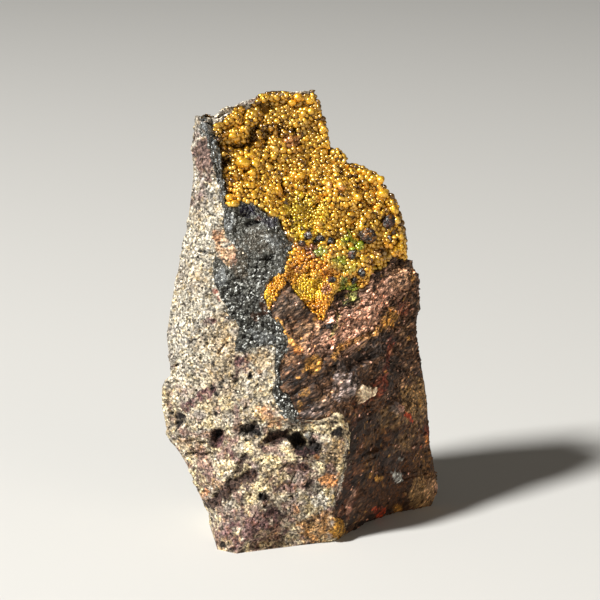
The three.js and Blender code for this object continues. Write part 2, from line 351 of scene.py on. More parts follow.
def beads(points, normals, spacing, plump, seed):
    """Botryoids: how high a crowd of touching balls stands over its floor."""
    height = np.zeros(len(points))
    reach = 0.8 * spacing
    for centre, pick in near_cells(points, spacing, seed):
        offset = centre - points
        above = (offset * normals).sum(1)
        across = (offset ** 2).sum(1) - above ** 2
        size = (spacing * plump * (0.55 + 0.6 * pick)) ** 2 * (1 - (above / reach) ** 2)
        ball = np.sqrt(np.maximum(size - across, 0))
        height = np.where((np.abs(above) < reach) & (ball > height), ball, height)
    return height


def step(value, start, end):
    """0 before start, 1 after end, and smooth between."""
    t = np.clip((value - start) / (end - start), 0, 1)
    return t * t * (3 - 2 * t)


def combed(points, direction, stretch):
    """Points squeezed along a direction, so that a pattern made from them is drawn out along it."""
    direction = direction / np.linalg.norm(direction)
    return points - np.outer(points @ direction, direction) * (1 - 1 / stretch)


class Surface:
    """Points on a surface, their normals, and where the camera sees each one, in drifting pixels."""

    def __init__(self, points, normals):
        self.points = points
        self.normals = normals
        from_eye = points - CAMERA_PLACE
        scale = PIXELS_PER_MM * CAMERA_DISTANCE / (from_eye @ AHEAD)
        self.across = PICTURE_SIZE / 2 + (from_eye @ RIGHT) * scale + DRIFT * rough(points, 1.6, 3, 53)
        self.down = PICTURE_SIZE / 2 - (from_eye @ UP) * scale + DRIFT * rough(points, 1.6, 3, 63)
        self.facing = -normals @ AHEAD

    def at(self, picked):
        """The surface at some of its points."""
        return Surface(self.points[picked], self.normals[picked])

    def ragged(self):
        """The noise that makes edges uneven. It is worked out once, when it is first needed."""
        if not hasattr(self, "noise"):
            self.noise = rough(self.points, 1.1, 3, 73)
        return self.noise

    def inside(self, border):
        """How far inside an outline each point is seen, in millimetres, and below 0 outside it."""
        nearest = np.full(len(self.points), np.inf)
        inside = np.zeros(len(self.points), bool)
        for (x0, y0), (x1, y1) in zip(border, border[1:] + border[:1]):
            nearest = np.minimum(nearest, self.from_segment(x0, y0, x1, y1))
            if y0 != y1:
                slope = (x1 - x0) / (y1 - y0)
                crosses = (y0 > self.down) != (y1 > self.down)
                inside ^= crosses & (self.across < x0 + (self.down - y0) * slope)
        return np.where(inside, 1, -1) * np.sqrt(nearest) / PIXELS_PER_MM

    def from_segment(self, x0, y0, x1, y1):
        """The squared distance in pixels from a straight line between two pixels."""
        along_x, along_y = x1 - x0, y1 - y0
        t = ((self.across - x0) * along_x + (self.down - y0) * along_y) / (along_x ** 2 + along_y ** 2)
        t = np.clip(t, 0, 1)
        return (self.across - x0 - t * along_x) ** 2 + (self.down - y0 - t * along_y) ** 2

    def within(self, border):
        """How far inside a crust's outline each point is. A crust ends just past the silhouette."""
        return np.minimum(self.inside(border), (self.facing - WRAP_LIMIT) * WRAP)

    def reach(self, x, y, half_width, half_height, tilt=0):
        """How far from an oval's middle each point is: 1 on the oval itself."""
        turn = np.radians(tilt)
        dx, dy = self.across - x, self.down - y
        u = (dx * np.cos(turn) + dy * np.sin(turn)) / half_width
        v = (dy * np.cos(turn) - dx * np.sin(turn)) / half_height
        return np.hypot(u, v)

    def bump(self, x, y, half_width, half_height, tilt=0):
        """A smooth bump, 1 at the middle of an oval and 0 well outside it."""
        return step(self.reach(x, y, half_width, half_height, tilt), 1.5, 0.3)

    def spot(self, x, y, half_width, half_height, tilt=0):
        """A spot with a ragged edge, 1 inside and 0 outside."""
        reach = self.reach(x, y, half_width, half_height, tilt) + RAGGED * self.ragged()
        return step(reach, 1.15, 0.75)

    def streak(self, line, half_width):
        """A ragged line, 1 along its middle and 0 outside."""
        nearest = np.full(len(self.points), np.inf)
        for (x0, y0), (x1, y1) in zip(line, line[1:]):
            nearest = np.minimum(nearest, self.from_segment(x0, y0, x1, y1))
        return step(np.sqrt(nearest) / half_width + RAGGED * self.ragged(), 1.25, 0.6)

    def relief(self, bumps):
        """The height of a list of bumps and hollows."""
        height = np.zeros(len(self.points))
        for rise, *oval in bumps:
            height += rise * self.bump(*oval)
        return height

    def stained(self, tint, spots, broken=1.0, extent=1.0):
        """Paints spots in turn. One of strength 1 is whole, and a weaker one is broken up."""
        for target, strength, *oval in spots:
            cover = broken if strength < 1 else 1.0
            tint = paint(tint, target, strength * self.spot(*oval) * extent * cover)
        return tint

    def streaked(self, tint, streaks, cover):
        """Paints streaks in turn."""
        for target, line, half_width, strength in streaks:
            tint = paint(tint, target, strength * self.streak(line, half_width) * cover)
        return tint


# Meshes as arrays.

def block_surface():
    """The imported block's surface, in millimetres, with its corners merged."""
    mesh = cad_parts[NODE].data
    corners = np.zeros(len(mesh.vertices) * 3)
    mesh.vertices.foreach_get("co", corners)
    mesh.calc_loop_triangles()
    triangles = np.zeros(len(mesh.loop_triangles) * 3, np.int32)
    mesh.loop_triangles.foreach_get("vertices", triangles)
    points = np.round(corners.reshape(-1, 3) / MM, 3)
    points, merged = np.unique(points, axis=0, return_inverse=True)
    triangles = merged.reshape(-1)[triangles.reshape(-1, 3)].astype(np.int64)
    keep = (triangles[:, 0] != triangles[:, 1]) & (triangles[:, 1] != triangles[:, 2])
    keep &= triangles[:, 2] != triangles[:, 0]
    return points, triangles[keep]


def unit(vectors):
    return vectors / np.maximum(np.linalg.norm(vectors, axis=1, keepdims=True), 1e-12)


def edges_of(triangles):
    return np.concatenate([triangles[:, [0, 1]], triangles[:, [1, 2]], triangles[:, [2, 0]]])


def gathered(triangles, vectors, count):
    """The direction, at each of count points, of the summed vectors of the triangles round it."""
    total = np.zeros((count, 3))
    for corner, axis in product((0, 1, 2), repeat=2):
        total[:, axis] += np.bincount(triangles[:, corner], vectors[:, axis], count)
    return unit(total)


def normals_of(points, triangles):
    a, b, c = (points[triangles[:, corner]] for corner in (0, 1, 2))
    return gathered(triangles, np.cross(b - a, c - a), len(points))


def softened(normals, triangles, rounds):
    """Normals averaged with their neighbours', so that a skin grown along them doesn't tear at an edge."""
    for _ in range(rounds):
        normals = gathered(triangles, normals[triangles].sum(1), len(normals))
    return normals


def sunk(points, normals, height, share):
    """The height, raised where the block is too thin for it: it sinks to share of the thickness at most."""
    limit = np.zeros(len(points))
    low = np.flatnonzero(height < 0)
    for index in low.tolist():
        hit = block_tree.ray_cast(points[index] - normals[index] * RAY_START, -normals[index])
        limit[index] = share * hit[3] if hit[3] else 0
    return np.maximum(height, -limit)


def cut_finer(points, triangles, finest, longest):
    """Splits each edge that is longer than finest, and than longest(surface) allows, until none is."""
    for _ in range(MOST_CUTS):
        normals = normals_of(points, triangles)
        pairs = np.sort(edges_of(triangles), 1)
        keys, edge_of = np.unique(pairs[:, 0] * len(points) + pairs[:, 1], return_inverse=True)
        edge_of = edge_of.reshape(3, -1).T
        first, last = keys // len(points), keys % len(points)
        start, end = points[first], points[last]
        middle = (start + end) / 2
        length = np.linalg.norm(end - start, axis=1)
        split = length > finest
        if not split.any():
            break
        normal = unit(normals[first[split]] + normals[last[split]])
        split[split] = length[split] > longest(Surface(middle[split], normal))
        if not split.any():
            break
        bent = middle[split]
        for side in (first[split], last[split]):
            n = normals[side]
            bent -= 0.5 * ROUNDING * ((middle[split] - points[side]) * n).sum(1)[:, None] * n
        on_base = (start[split, 2] < 1e-6) & (end[split, 2] < 1e-6)
        bent[on_base] = middle[split][on_base]
        new = np.cumsum(split) - 1 + len(points)
        points = np.concatenate([points, bent])
        triangles = split_triangles(triangles, split[edge_of], new[edge_of])
    return points, triangles


def split_triangles(triangles, split, new):
    """Cuts each triangle by whichever of its edges are split. new holds the middle point of each."""
    parts = [triangles[~split.any(1)]]
    count = split.sum(1)
    a, b, c = triangles.T
    ab, bc, ca = new.T
    every = count == 3
    for corners in ((a, ab, ca), (ab, b, bc), (ca, bc, c), (ab, bc, ca)):
        parts.append(np.stack(corners, 1)[every])
    for turn in (0, 1, 2):
        (a, b, c), (ab, bc, ca) = (np.roll(triangles, -turn, 1).T, np.roll(new, -turn, 1).T)
        turned = np.roll(split, -turn, 1)
        one = (count == 1) & turned[:, 0]
        for corners in ((a, ab, c), (ab, b, c)):
            parts.append(np.stack(corners, 1)[one])
        two = (count == 2) & ~turned[:, 2]
        for corners in ((ab, b, bc), (a, ab, bc), (a, bc, c)):
            parts.append(np.stack(corners, 1)[two])
    return np.concatenate(parts)


def largest_part(triangles):
    """The triangles of the largest connected patch."""
    label = np.arange(triangles.max() + 1)
    while True:
        lowest = label[triangles].min(1)
        before = label.copy()
        for corner in (0, 1, 2):
            np.minimum.at(label, triangles[:, corner], lowest)
        label = label[label]
        if (label == before).all():
            break
    names, sizes = np.unique(label[triangles[:, 0]], return_counts=True)
    return triangles[label[triangles[:, 0]] == names[sizes.argmax()]]


def rims(triangles, count):
    """The patch's border as loops of points, each loop in the order of its triangles' edges."""
    edges = edges_of(triangles)
    lonely = ~np.isin(edges[:, 0] * count + edges[:, 1], edges[:, 1] * count + edges[:, 0])
    follow = {}
    for a, b in edges[lonely].tolist():
        follow.setdefault(a, []).append(b)
    loops = []
    while follow:
        start = next(iter(follow))
        loop = []
        at = start
        while not loop or at != start:
            loop.append(at)
            after = follow[at].pop()
            if not follow[at]:
                del follow[at]
            at = after
        loops.append(loop)
    return loops


def under_cover(points):
    """Moves each point that isn't well inside the block under the part of the surface nearest to it."""
    moved = points.copy()
    for index, point in enumerate(points):
        spot, normal, _, _ = block_tree.find_nearest(point)
        hit = block_tree.ray_cast(spot - normal * RAY_START, -normal)
        cover = min(DEEPEST_COVER, HIDDEN_SHARE * hit[3]) if hit[3] else 0
        if (spot - Vector(point)) @ normal < cover:
            moved[index] = spot - normal * cover
    return moved


def close_shell(points, triangles, normals, tuck, bury):
    """Closes a patch with a hidden back. Each rim is tucked in, and goes down to a buried point.

    Rings between a long rim and its point keep the back under cover."""
    extra = []
    faces = [triangles]
    count = len(points)
    for loop in rims(triangles, len(points)):
        tucked = points[loop] - normals[loop] * tuck[loop][:, None]
        inward = normals[loop].mean(0)
        long_way = len(loop) > LONG_RIM
        centre = tucked.mean(0) - inward / np.linalg.norm(inward) * (bury if long_way else 0)
        rings = [tucked]
        if long_way:
            rings += [under_cover(tucked + (centre - tucked) * share) for share in RING_SHARES]
        extra += rings + [centre[None]]
        here, after = np.array(loop), np.roll(loop, -1)
        for _ in rings:
            low = np.arange(count, count + len(loop))
            low_after = np.roll(low, -1)
            faces += [np.stack([after, here, low], 1), np.stack([after, low, low_after], 1)]
            here, after = low, low_after
            count += len(loop)
        faces.append(np.stack([after, here, np.full(len(loop), count)], 1))
        count += 1
    return np.concatenate([points] + extra), np.concatenate(faces)


def placed(name, data):
    """A new object, put in the scene."""
    thing = bpy.data.objects.new(name, data)
    bpy.context.scene.collection.objects.link(thing)
    return thing


def make_piece(name, points, triangles, tints, material):
    """One mesh object. tints maps an attribute's name to a colour or a number for each visible point."""
    low = np.array(cad_box[0]) / MM + [BOX_MARGIN, BOX_MARGIN, 0]
    high = np.array(cad_box[1]) / MM - BOX_MARGIN
    points = np.clip(points, low, high)
    mesh = bpy.data.meshes.new(name)
    mesh.vertices.add(len(points))
    mesh.vertices.foreach_set("co", (points * MM).astype(np.float32).ravel())
    mesh.loops.add(len(triangles) * 3)
    mesh.loops.foreach_set("vertex_index", triangles.astype(np.int32).ravel())
    mesh.polygons.add(len(triangles))
    mesh.polygons.foreach_set("loop_start", np.arange(0, len(triangles) * 3, 3, dtype=np.int32))
    mesh.update(calc_edges=True)
    mesh.shade_smooth()
    for attribute, values in tints.items():
        padded = np.ones((len(points), 4), np.float32)
        padded[:, :3] = values[-1]
        padded[:len(values), :3] = values.reshape(len(values), -1)
        layer = mesh.attributes.new(attribute, "FLOAT_COLOR", "POINT")
        layer.data.foreach_set("color", padded.ravel())
    mesh.materials.append(material)
    piece = placed(name, mesh)
    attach(piece, "root")
    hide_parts(NODE)


# Colours and materials.

def colour(red, green, blue):
    """A linear colour from its usual 0 to 255 values."""
    c = np.array([red, green, blue]) / 255
    return np.where(c <= 0.04045, c / 12.92, ((c + 0.055) / 1.055) ** 2.4)


def paint(base, target, weight):
    """Blends a colour, or one for each point, towards another colour by a weight for each point."""
    return base + (np.asarray(target) - base) * np.clip(weight, 0, 1)[:, None]


class Finish:
    """A material made of nodes. Its patterns are measured in millimetres on the object."""

    def __init__(self, name, roughness, metallic=0.0, specular=0.5):
        self.material = bpy.data.materials.new(name)
        self.material.use_nodes = True
        self.nodes = self.material.node_tree.nodes
        self.shader = self.nodes["Principled BSDF"]
        self.set("Roughness", roughness)
        self.set("Metallic", metallic)
        self.set("Specular IOR Level", specular)
        metres = self.node("TexCoord", {}).outputs["Object"]
        self.place = self.node("VectorMath", {0: metres, "Scale": 1 / MM}, operation="SCALE").outputs[0]

    def feed(self, socket, value):
        """Links an output to an input, or sets the input to a number, a vector or a colour."""
        if isinstance(value, bpy.types.NodeSocket):
            self.material.node_tree.links.new(value, socket)
        elif socket.type == "RGBA":
            socket.default_value = (*value, 1)
        else:
            socket.default_value = value

    def set(self, name, value):
        """Feeds one of the shader's inputs."""
        self.feed(self.shader.inputs[name], value)

    def node(self, kind, inputs, **settings):
        """Adds a node with its settings, and feeds its inputs by name or number."""
        node = self.nodes.new("ShaderNode" + kind)
        for name, value in settings.items():
            setattr(node, name, value)
        for name, value in inputs.items():
            self.feed(node.inputs[name], value)
        return node

    def comb(self, direction, stretch):
        """Draws every pattern added from now on out along a direction."""
        direction = direction / np.linalg.norm(direction)
        squeeze = direction * (1 - 1 / stretch)
        along = self.node("VectorMath", {0: self.place, 1: direction}, operation="DOT_PRODUCT")
        shift = self.node("VectorMath", {0: squeeze, "Scale": along.outputs["Value"]}, operation="SCALE")
        combed_place = self.node("VectorMath", {0: self.place, 1: shift.outputs[0]}, operation="SUBTRACT")
        self.place = combed_place.outputs[0]

    def attribute(self, name):
        return self.node("Attribute", {}, attribute_name=name).outputs["Color"]

    def noise(self, wavelength, detail):
        inputs = {"Scale": 1 / wavelength, "Detail": detail, "Vector": self.place}
        return self.node("TexNoise", inputs).outputs["Fac"]

    def cells(self, size):
        return self.node("TexVoronoi", {"Scale": 1 / size, "Vector": self.place}).outputs

    def grains(self, size, stops):
        """A number for each grain of a granular pattern, picked evenly along a ramp."""
        parts = self.node("SeparateColor", {"Color": self.cells(size)["Color"]})
        return self.ramp(parts.outputs["Red"], stops)

    def pebbles(self, size):
        """A height for a pattern of small rounded grains."""
        return self.math("SUBTRACT", 1.0, self.cells(size)["Distance"])

    def ramp(self, value, stops):
        """Turns a number into another by a list of (position, value)."""
        node = self.node("ValToRGB", {"Fac": value})
        elements = node.color_ramp.elements
        while len(elements) < len(stops):
            elements.new(0.5)
        for element, (position, shade) in zip(elements, stops):
            element.position = position
            element.color = (shade, shade, shade, 1)
        return node.outputs["Color"]

    def mix(self, blend, factor, base, top):
        inputs = {"Factor": factor, "A": base, "B": top}
        return self.node("Mix", inputs, data_type="RGBA", blend_type=blend).outputs["Result"]

    def math(self, operation, first, second):
        return self.node("Math", {0: first, 1: second}, operation=operation).outputs[0]

    def bump(self, height, distance, strength=1.0, below=None):
        """Adds a bump whose full height is distance millimetres."""
        inputs = {"Height": height, "Distance": distance * MM, "Strength": strength}
        if below is not None:
            inputs["Normal"] = below
        return self.node("Bump", inputs).outputs["Normal"]

    def vary_roughness(self, wavelength, detail, smooth, coarse):
        """Lets the roughness drift between two values."""
        self.set("Roughness", self.ramp(self.noise(wavelength, detail), [(0.3, smooth), (0.7, coarse)]))


GLINT = colour(204, 206, 200)
WARM_TINGE = colour(255, 230, 172)
COOL_TINGE = colour(168, 160, 164)


def golden_finish():
    """Gold that is partly metallic, finely bumped, under a clear coat."""
    finish = Finish("golden_crust", 0.36, 0.0, 0.2)
    finish.set("Coat Weight", 1.0)
    finish.set("Coat Roughness", 0.2)
    finish.set("Coat IOR", 1.65)
    shade = finish.ramp(finish.noise(0.6, 3), [(0.3, 0.75), (0.5, 1.05), (0.7, 1.25)])
    base = finish.mix("MULTIPLY", 1.0, finish.attribute("tint"), shade)
    finish.set("Base Color", base)
    finish.set("Metallic", finish.attribute("metal"))
    finish.set("Normal", finish.bump(finish.noise(0.35, 3), 0.09))
    finish.vary_roughness(0.7, 3, 0.26, 0.42)
    return finish.material


def dark_finish():
    """Granular, half metallic, with bright grains. speckle says how strongly it is grained."""
    finish = Finish("dark_crust", 0.4, 0.5)
    shade = finish.ramp(finish.noise(0.55, 4), [(0.3, 0.2), (0.5, 0.8), (0.7, 1.8)])
    shade = finish.mix("MIX", finish.attribute("speckle"), (0.85, 0.85, 0.85), shade)
    base = finish.mix("MULTIPLY", 1.0, finish.attribute("tint"), shade)
    glint = finish.grains(0.4, [(0.0, 0.0), (0.82, 0.0), (0.92, 1.0)])
    glint = finish.math("MULTIPLY", glint, finish.attribute("speckle"))
    base = finish.mix("MIX", glint, base, GLINT)
    fine = finish.bump(finish.noise(0.22, 3), 0.16)
    finish.set("Base Color", base)
    finish.set("Normal", finish.bump(finish.pebbles(0.5), 0.2, 0.9, fine))
    finish.vary_roughness(0.5, 2, 0.22, 0.5)
    return finish.material


def iron_finish():
    """Matt and granular, combed as the stained rock is. speckle says how strongly it is grained."""
    finish = Finish("iron_crust", 0.6, 0.0, 0.35)
    finish.comb(COMB, 2.6)
    shade = finish.ramp(finish.noise(0.8, 5), [(0.34, 0.15), (0.5, 0.9), (0.65, 2.1)])
    grain = finish.grains(0.34, [(0.0, 0.15), (0.3, 0.65), (0.7, 1.1), (0.88, 2.0), (1.0, 3.4)])
    shade = finish.mix("MULTIPLY", 0.85, shade, grain)
    shade = finish.mix("MIX", finish.attribute("speckle"), (0.9, 0.9, 0.9), shade)
    base = finish.mix("MULTIPLY", 1.0, finish.attribute("tint"), shade)
    fine = finish.bump(finish.noise(0.3, 3), 0.2)
    finish.set("Base Color", base)
    finish.set("Normal", finish.bump(finish.pebbles(0.45), 0.2, 0.8, fine))
    finish.vary_roughness(0.5, 2, 0.4, 0.8)
    return finish.material


def host_finish():
    """Matt and granular, with warm and cool tinges."""
    finish = Finish("host_rock", 0.8, 0.0, 0.3)
    stops = [(0.0, 0.05), (0.12, 0.35), (0.3, 0.8), (0.6, 1.05), (0.85, 1.6), (1.0, 2.2)]
    base = finish.mix("MULTIPLY", 0.85, finish.attribute("tint"), finish.grains(0.5, stops))
    fine_shade = finish.ramp(finish.noise(0.6, 4), [(0.35, 0.2), (0.5, 1.0), (0.65, 1.7)])
    base = finish.mix("MULTIPLY", 0.9, base, fine_shade)
    warm = finish.ramp(finish.noise(1.1, 3), [(0.52, 0.0), (0.66, 0.6)])
    base = finish.mix("MULTIPLY", warm, base, WARM_TINGE)
    cool = finish.ramp(finish.noise(0.9, 3), [(0.32, 0.8), (0.44, 0.0)])
    base = finish.mix("MULTIPLY", cool, base, COOL_TINGE)
    fine = finish.bump(finish.noise(0.4, 3), 0.3)
    finish.set("Base Color", base)
    finish.set("Normal", finish.bump(finish.pebbles(0.6), 0.35, 0.8, fine))
    finish.vary_roughness(0.6, 2, 0.65, 0.95)
    return finish.material


block_points, block_triangles = block_surface()
block_tree = BVHTree.FromPolygons(block_points.tolist(), block_triangles.tolist())


def patch(border, edge):
    """The block's surface inside a border, finely cut, its triangles, and how far inside each point is."""
    def longest(surface):
        return edge + EDGE_GROWTH * np.maximum(-surface.within(border) - MARGIN, 0)
    points, triangles = cut_finer(block_points, block_triangles, edge, longest)
    normals = normals_of(points, triangles)
    inside = Surface(points, normals).within(border)
    triangles = largest_part(triangles[(inside[triangles] > -MARGIN).all(1)])
    used, renumbered = np.unique(triangles, return_inverse=True)
    triangles = renumbered.reshape(-1, 3)
    normals = softened(normals[used], triangles, SOFTENING)
    return Surface(points[used], normals), triangles, inside[used]


def crust(name, border, edge, bury, raise_skin, material):
    """Grows one crust. raise_skin(surface, inside) gives each point's height and colours.

    Returns the skin, how far inside the border each of its points is, and its height."""
    surface, triangles, inside = patch(border, edge)
    height, tints = raise_skin(surface, inside)
    height = sunk(surface.points, surface.normals, height, SKIN_SHARE)
    tuck = height - sunk(surface.points, surface.normals, height - TUCK, HIDDEN_SHARE)
    tuck[surface.facing < THIN_LIP] = 0
    skin = surface.points + surface.normals * height[:, None]
    skin[:, 2] = np.maximum(skin[:, 2], LOWEST_SKIN)
    shell, faces = close_shell(skin, triangles, surface.normals, np.maximum(tuck, LEAST_TUCK), bury)
    make_piece(name, shell, faces, tints, material)
    return Surface(skin, normals_of(skin, triangles)), inside, height


def turned_down(height, inside, full, depth):
    """The height, brought down to a depth under the rock at the rim. It is full a little way inside."""
    edge = step(inside, -0.6, full)
    return height * edge - depth * (1 - edge)


def kept_up(surface, height):
    """Near the silhouette a skin stays close to the rock under it, so that no gap opens behind its rim."""
    return np.maximum(height, -0.4 - 3 * step(surface.facing, 0.05, 0.5))


def ball(level):
    """The points and triangles of a round ball of radius 1."""
    shape = bmesh.new()
    bmesh.ops.create_icosphere(shape, subdivisions=level, radius=1.0)
    points = np.array([vertex.co[:] for vertex in shape.verts])
    triangles = np.array([[vertex.index for vertex in face.verts] for face in shape.faces])
    shape.free()
    return points, triangles


def scatter(points, sizes, crowding):
    """Picks points, the largest first, so that any two are crowding times their summed sizes apart."""
    tree = KDTree(len(points))
    for index, point in enumerate(points):
        tree.insert(point, index)
    tree.balance()
    free = sizes > 0
    picked = []
    for index in np.argsort(-sizes, kind="stable").tolist():
        if not free[index]:
            continue
        picked.append(index)
        for _, other, distance in tree.find_range(points[index], crowding * 2 * sizes[index]):
            if distance < crowding * (sizes[index] + sizes[other]):
                free[other] = False
    return np.array(picked)


def heap(surface, sizes, crowding, shape, uneven, along=None):
    """A crowd of balls that sit on a surface, with shape's lengths along, across and up.

    Returns their points and triangles, the surface points under the balls, which ball each point is on,
    and how deep it lies on it: -1 at the top, 0 at the ball's middle and 1 at the bottom."""
    dice = np.random.default_rng(SEED)
    picked = scatter(surface.points, sizes, crowding)
    round_points, round_triangles = ball(2)
    up = surface.normals[picked]
    lean = dice.normal(size=up.shape)
    if along is not None:
        lean = along + HEAP_STRAY * lean
    across = unit(np.cross(up, lean))
    axes = np.stack([np.cross(across, up), across, up], 1)
    variety = dice.uniform(1 - HEAP_VARIETY, 1 + HEAP_VARIETY, (len(picked), 3))
    stretch = sizes[picked, None] * variety * shape
    lift = sizes[picked] * dice.uniform(-HEAP_LIFT, HEAP_LIFT, len(picked))
    centre = surface.points[picked] + up * lift[:, None]
    offset = np.einsum("pk,nk,nkj->npj", round_points, stretch, axes)
    owners = np.repeat(np.arange(len(picked)), len(round_points))
    points = (centre[:, None] + offset).reshape(-1, 3)
    swell = 1 + uneven * rough(points, 0.9, 2, 91)
    points = centre[owners] + offset.reshape(-1, 3) * swell[:, None]
    first = np.arange(len(picked))[:, None, None] * len(round_points)
    depth = np.tile(-round_points[:, 2], len(picked))
    return points, (round_triangles[None] + first).reshape(-1, 3), picked, owners, depth


def planted(surface, spots, rise, uneven):
    """Balls at given places in the picture.

    Returns their points and triangles, the surface points under them, and which ball each point is on."""
    round_points, round_triangles = ball(3)
    points, triangles, roots = [], [], []
    for number, (x, y, half_width, half_height, tilt) in enumerate(spots):
        reach = np.where(surface.facing > 0.1, surface.reach(x, y, half_width, half_height), np.inf)
        root = int(reach.argmin())
        turn = np.radians(tilt)
        across = RIGHT * np.cos(turn) - UP * np.sin(turn)
        down = -RIGHT * np.sin(turn) - UP * np.cos(turn)
        size = np.array([half_width, half_height, (half_width + half_height) / 2]) / PIXELS_PER_MM
        offset = (round_points * size) @ np.stack([across, down, -AHEAD])
        offset *= 1 + uneven * rough(surface.points[root] + offset, 1.2, 3, 93)[:, None]
        points.append(surface.points[root] + surface.normals[root] * rise * size.min() + offset)
        triangles.append(round_triangles + number * len(round_points))
        roots.append(root)
    owners = np.repeat(np.arange(len(spots)), len(round_points))
    return np.concatenate(points), np.concatenate(triangles), roots, owners


# The golden crust.

GOLD = colour(255, 194, 52)
GOLD_DEEP = colour(214, 138, 20)
GOLD_PALE = colour(255, 214, 110)
ROSE_GOLD = colour(238, 160, 108)
LIME_GOLD = colour(222, 190, 36)
OCHRE_GOLD = colour(232, 156, 0)
YELLOW_GOLD = colour(244, 202, 0)
ORANGE = colour(240, 146, 16)
OLIVE = colour(136, 118, 40)
LEAF_GREEN = colour(140, 184, 24)
PALE_GREEN = colour(138, 178, 84)
SLATE_NODULE = colour(40, 42, 44)
PURPLE_PINK = colour(160, 98, 88)
NODULE_BROWN = colour(132, 96, 84)
# Painted shade for the gaps between the golden beads and for their lower halves.
CREVICE_SHADE = colour(82, 50, 6)
# Painted shade for the hollows of the gold.
GOLD_HOLLOW_SHADE = colour(120, 84, 18)

# The two olive spots at 228, 163 and 219, 138 paint shade into the hollows under the rim.
GOLD_SPOTS = [
    (ROSE_GOLD, 0.8, 292, 142, 9, 7), (ROSE_GOLD, 0.6, 341, 187, 4, 4), (ROSE_GOLD, 0.6, 330, 185, 4, 3),
    (ROSE_GOLD, 0.5, 318, 223, 4, 4), (LIME_GOLD, 0.75, 306, 214, 24, 20, 20),
    (LIME_GOLD, 0.7, 300, 232, 12, 8, 30), (GOLD_PALE, 0.8, 336, 171, 3, 3),
    (OLIVE, 0.6, 228, 163, 5, 9, 20), (OLIVE, 0.5, 219, 138, 4, 6), (ORANGE, 0.5, 390, 250, 17, 12),
    (YELLOW_GOLD, 0.5, 398, 246, 7, 7), (ORANGE, 0.7, 312, 262, 26, 16), (ORANGE, 0.35, 349, 275, 24, 16),
    (GOLD_PALE, 0.4, 345, 262, 22, 12), (ORANGE, 0.7, 327, 270, 9, 10),
    (YELLOW_GOLD, 0.8, 308, 288, 15, 16, 30), (ORANGE, 0.45, 309, 303, 4, 9, -40),
    (ORANGE, 0.5, 322, 306, 8, 10), (OCHRE_GOLD, 0.8, 320, 319, 6, 6),
    (YELLOW_GOLD, 0.7, 268, 299, 6, 9, 20), (ROSE_GOLD, 0.6, 295, 269, 7, 3, 40),
    (PURPLE_PINK, 0.9, 313, 250, 8, 6, 30), (PURPLE_PINK, 0.8, 326, 288, 4, 5),
    (PURPLE_PINK, 0.55, 378, 251, 5, 6), (PURPLE_PINK, 0.5, 372, 262, 5, 4),
    (PURPLE_PINK, 0.6, 300, 246, 8, 3), (LEAF_GREEN, 0.9, 358, 246, 7, 5),
    (LEAF_GREEN, 0.75, 347, 238, 4, 8, 20), (PALE_GREEN, 0.85, 344, 281, 6, 5),
    (PALE_GREEN, 0.8, 321, 253, 7, 5), (PALE_GREEN, 0.4, 333, 262, 6, 6), (LEAF_GREEN, 0.7, 339, 259, 6, 4),
    (OLIVE, 0.6, 386, 255, 6, 4), (YELLOW_GOLD, 0.7, 377, 270, 6, 4, -30),
    (YELLOW_GOLD, 0.5, 356, 262, 8, 6), (LEAF_GREEN, 0.4, 346, 268, 10, 5, 20),
    (YELLOW_GOLD, 0.6, 348, 286, 12, 4, -20), (LEAF_GREEN, 0.9, 352, 290, 10, 5),
]


def powdery(surface):
    """1 in the powdery lower part of the crust, 0 above it."""
    return step(surface.down + 3 * surface.ragged(), 242, 252)


def golden_tints(surface):
    """The crust's colour and how metallic it is."""
    points = surface.points
    tint = paint(GOLD, GOLD_PALE, step(rough(points, 1.6, 2, 17), 0.2, 0.9) * 0.5)
    tint = paint(tint, GOLD_DEEP, step(rough(points, 2.4, 2, 19), 0.2, 1.0) * 0.6)
    in_lobes = step(surface.down + 3 * surface.ragged() + 0.3 * (330 - surface.across), 280, 288)
    tint = paint(tint, OCHRE_GOLD, in_lobes * step(surface.across, 336, 326))
    tint = surface.stained(tint, GOLD_SPOTS)
    # The hollows of the relief are painted darker, as painted shade.
    tint = paint(tint, GOLD_HOLLOW_SHADE, step(-surface.relief(GOLD_RELIEF), 0.25, 1.3) * 0.8)
    return {"tint": tint, "metal": 0.62 - 0.22 * powdery(surface)}


def golden_skin(surface, inside):
    """The floor that the botryoids stand on: clusters and hollows, and a lip over the dark crust."""
    points, normals = surface.points, surface.normals
    clusters = beads(points, normals, 3.2, 0.6, 1)
    grapes = beads(points, normals, 1.7, 0.64, 9)
    height = 0.45 * rough(points, 7.0, 2, 25) - 1.1
    height += clusters * (0.35 + 0.3 * step(rough(points, 5.0, 2, 20), -0.5, 0.6)) + grapes * 0.3
    height += 1.1 * surface.relief(GOLD_RELIEF)
    height += 0.5 * surface.streak(GOLD_LIP, 12) * step(inside, 0, 1.0)
    height -= 1.2 * surface.streak(GOLD_THIN, 9)
    height = kept_up(surface, height - 0.45 * step(surface.facing, 0.4, 0.05))
    tints = golden_tints(surface)
    # The floor under the beads is painted dark all over, as painted shade in the gaps between them.
    tints["tint"] = paint(tints["tint"], CREVICE_SHADE, 0.88 - 0.15 * powdery(surface))
    return turned_down(height, inside, 0.35, 1.3), tints


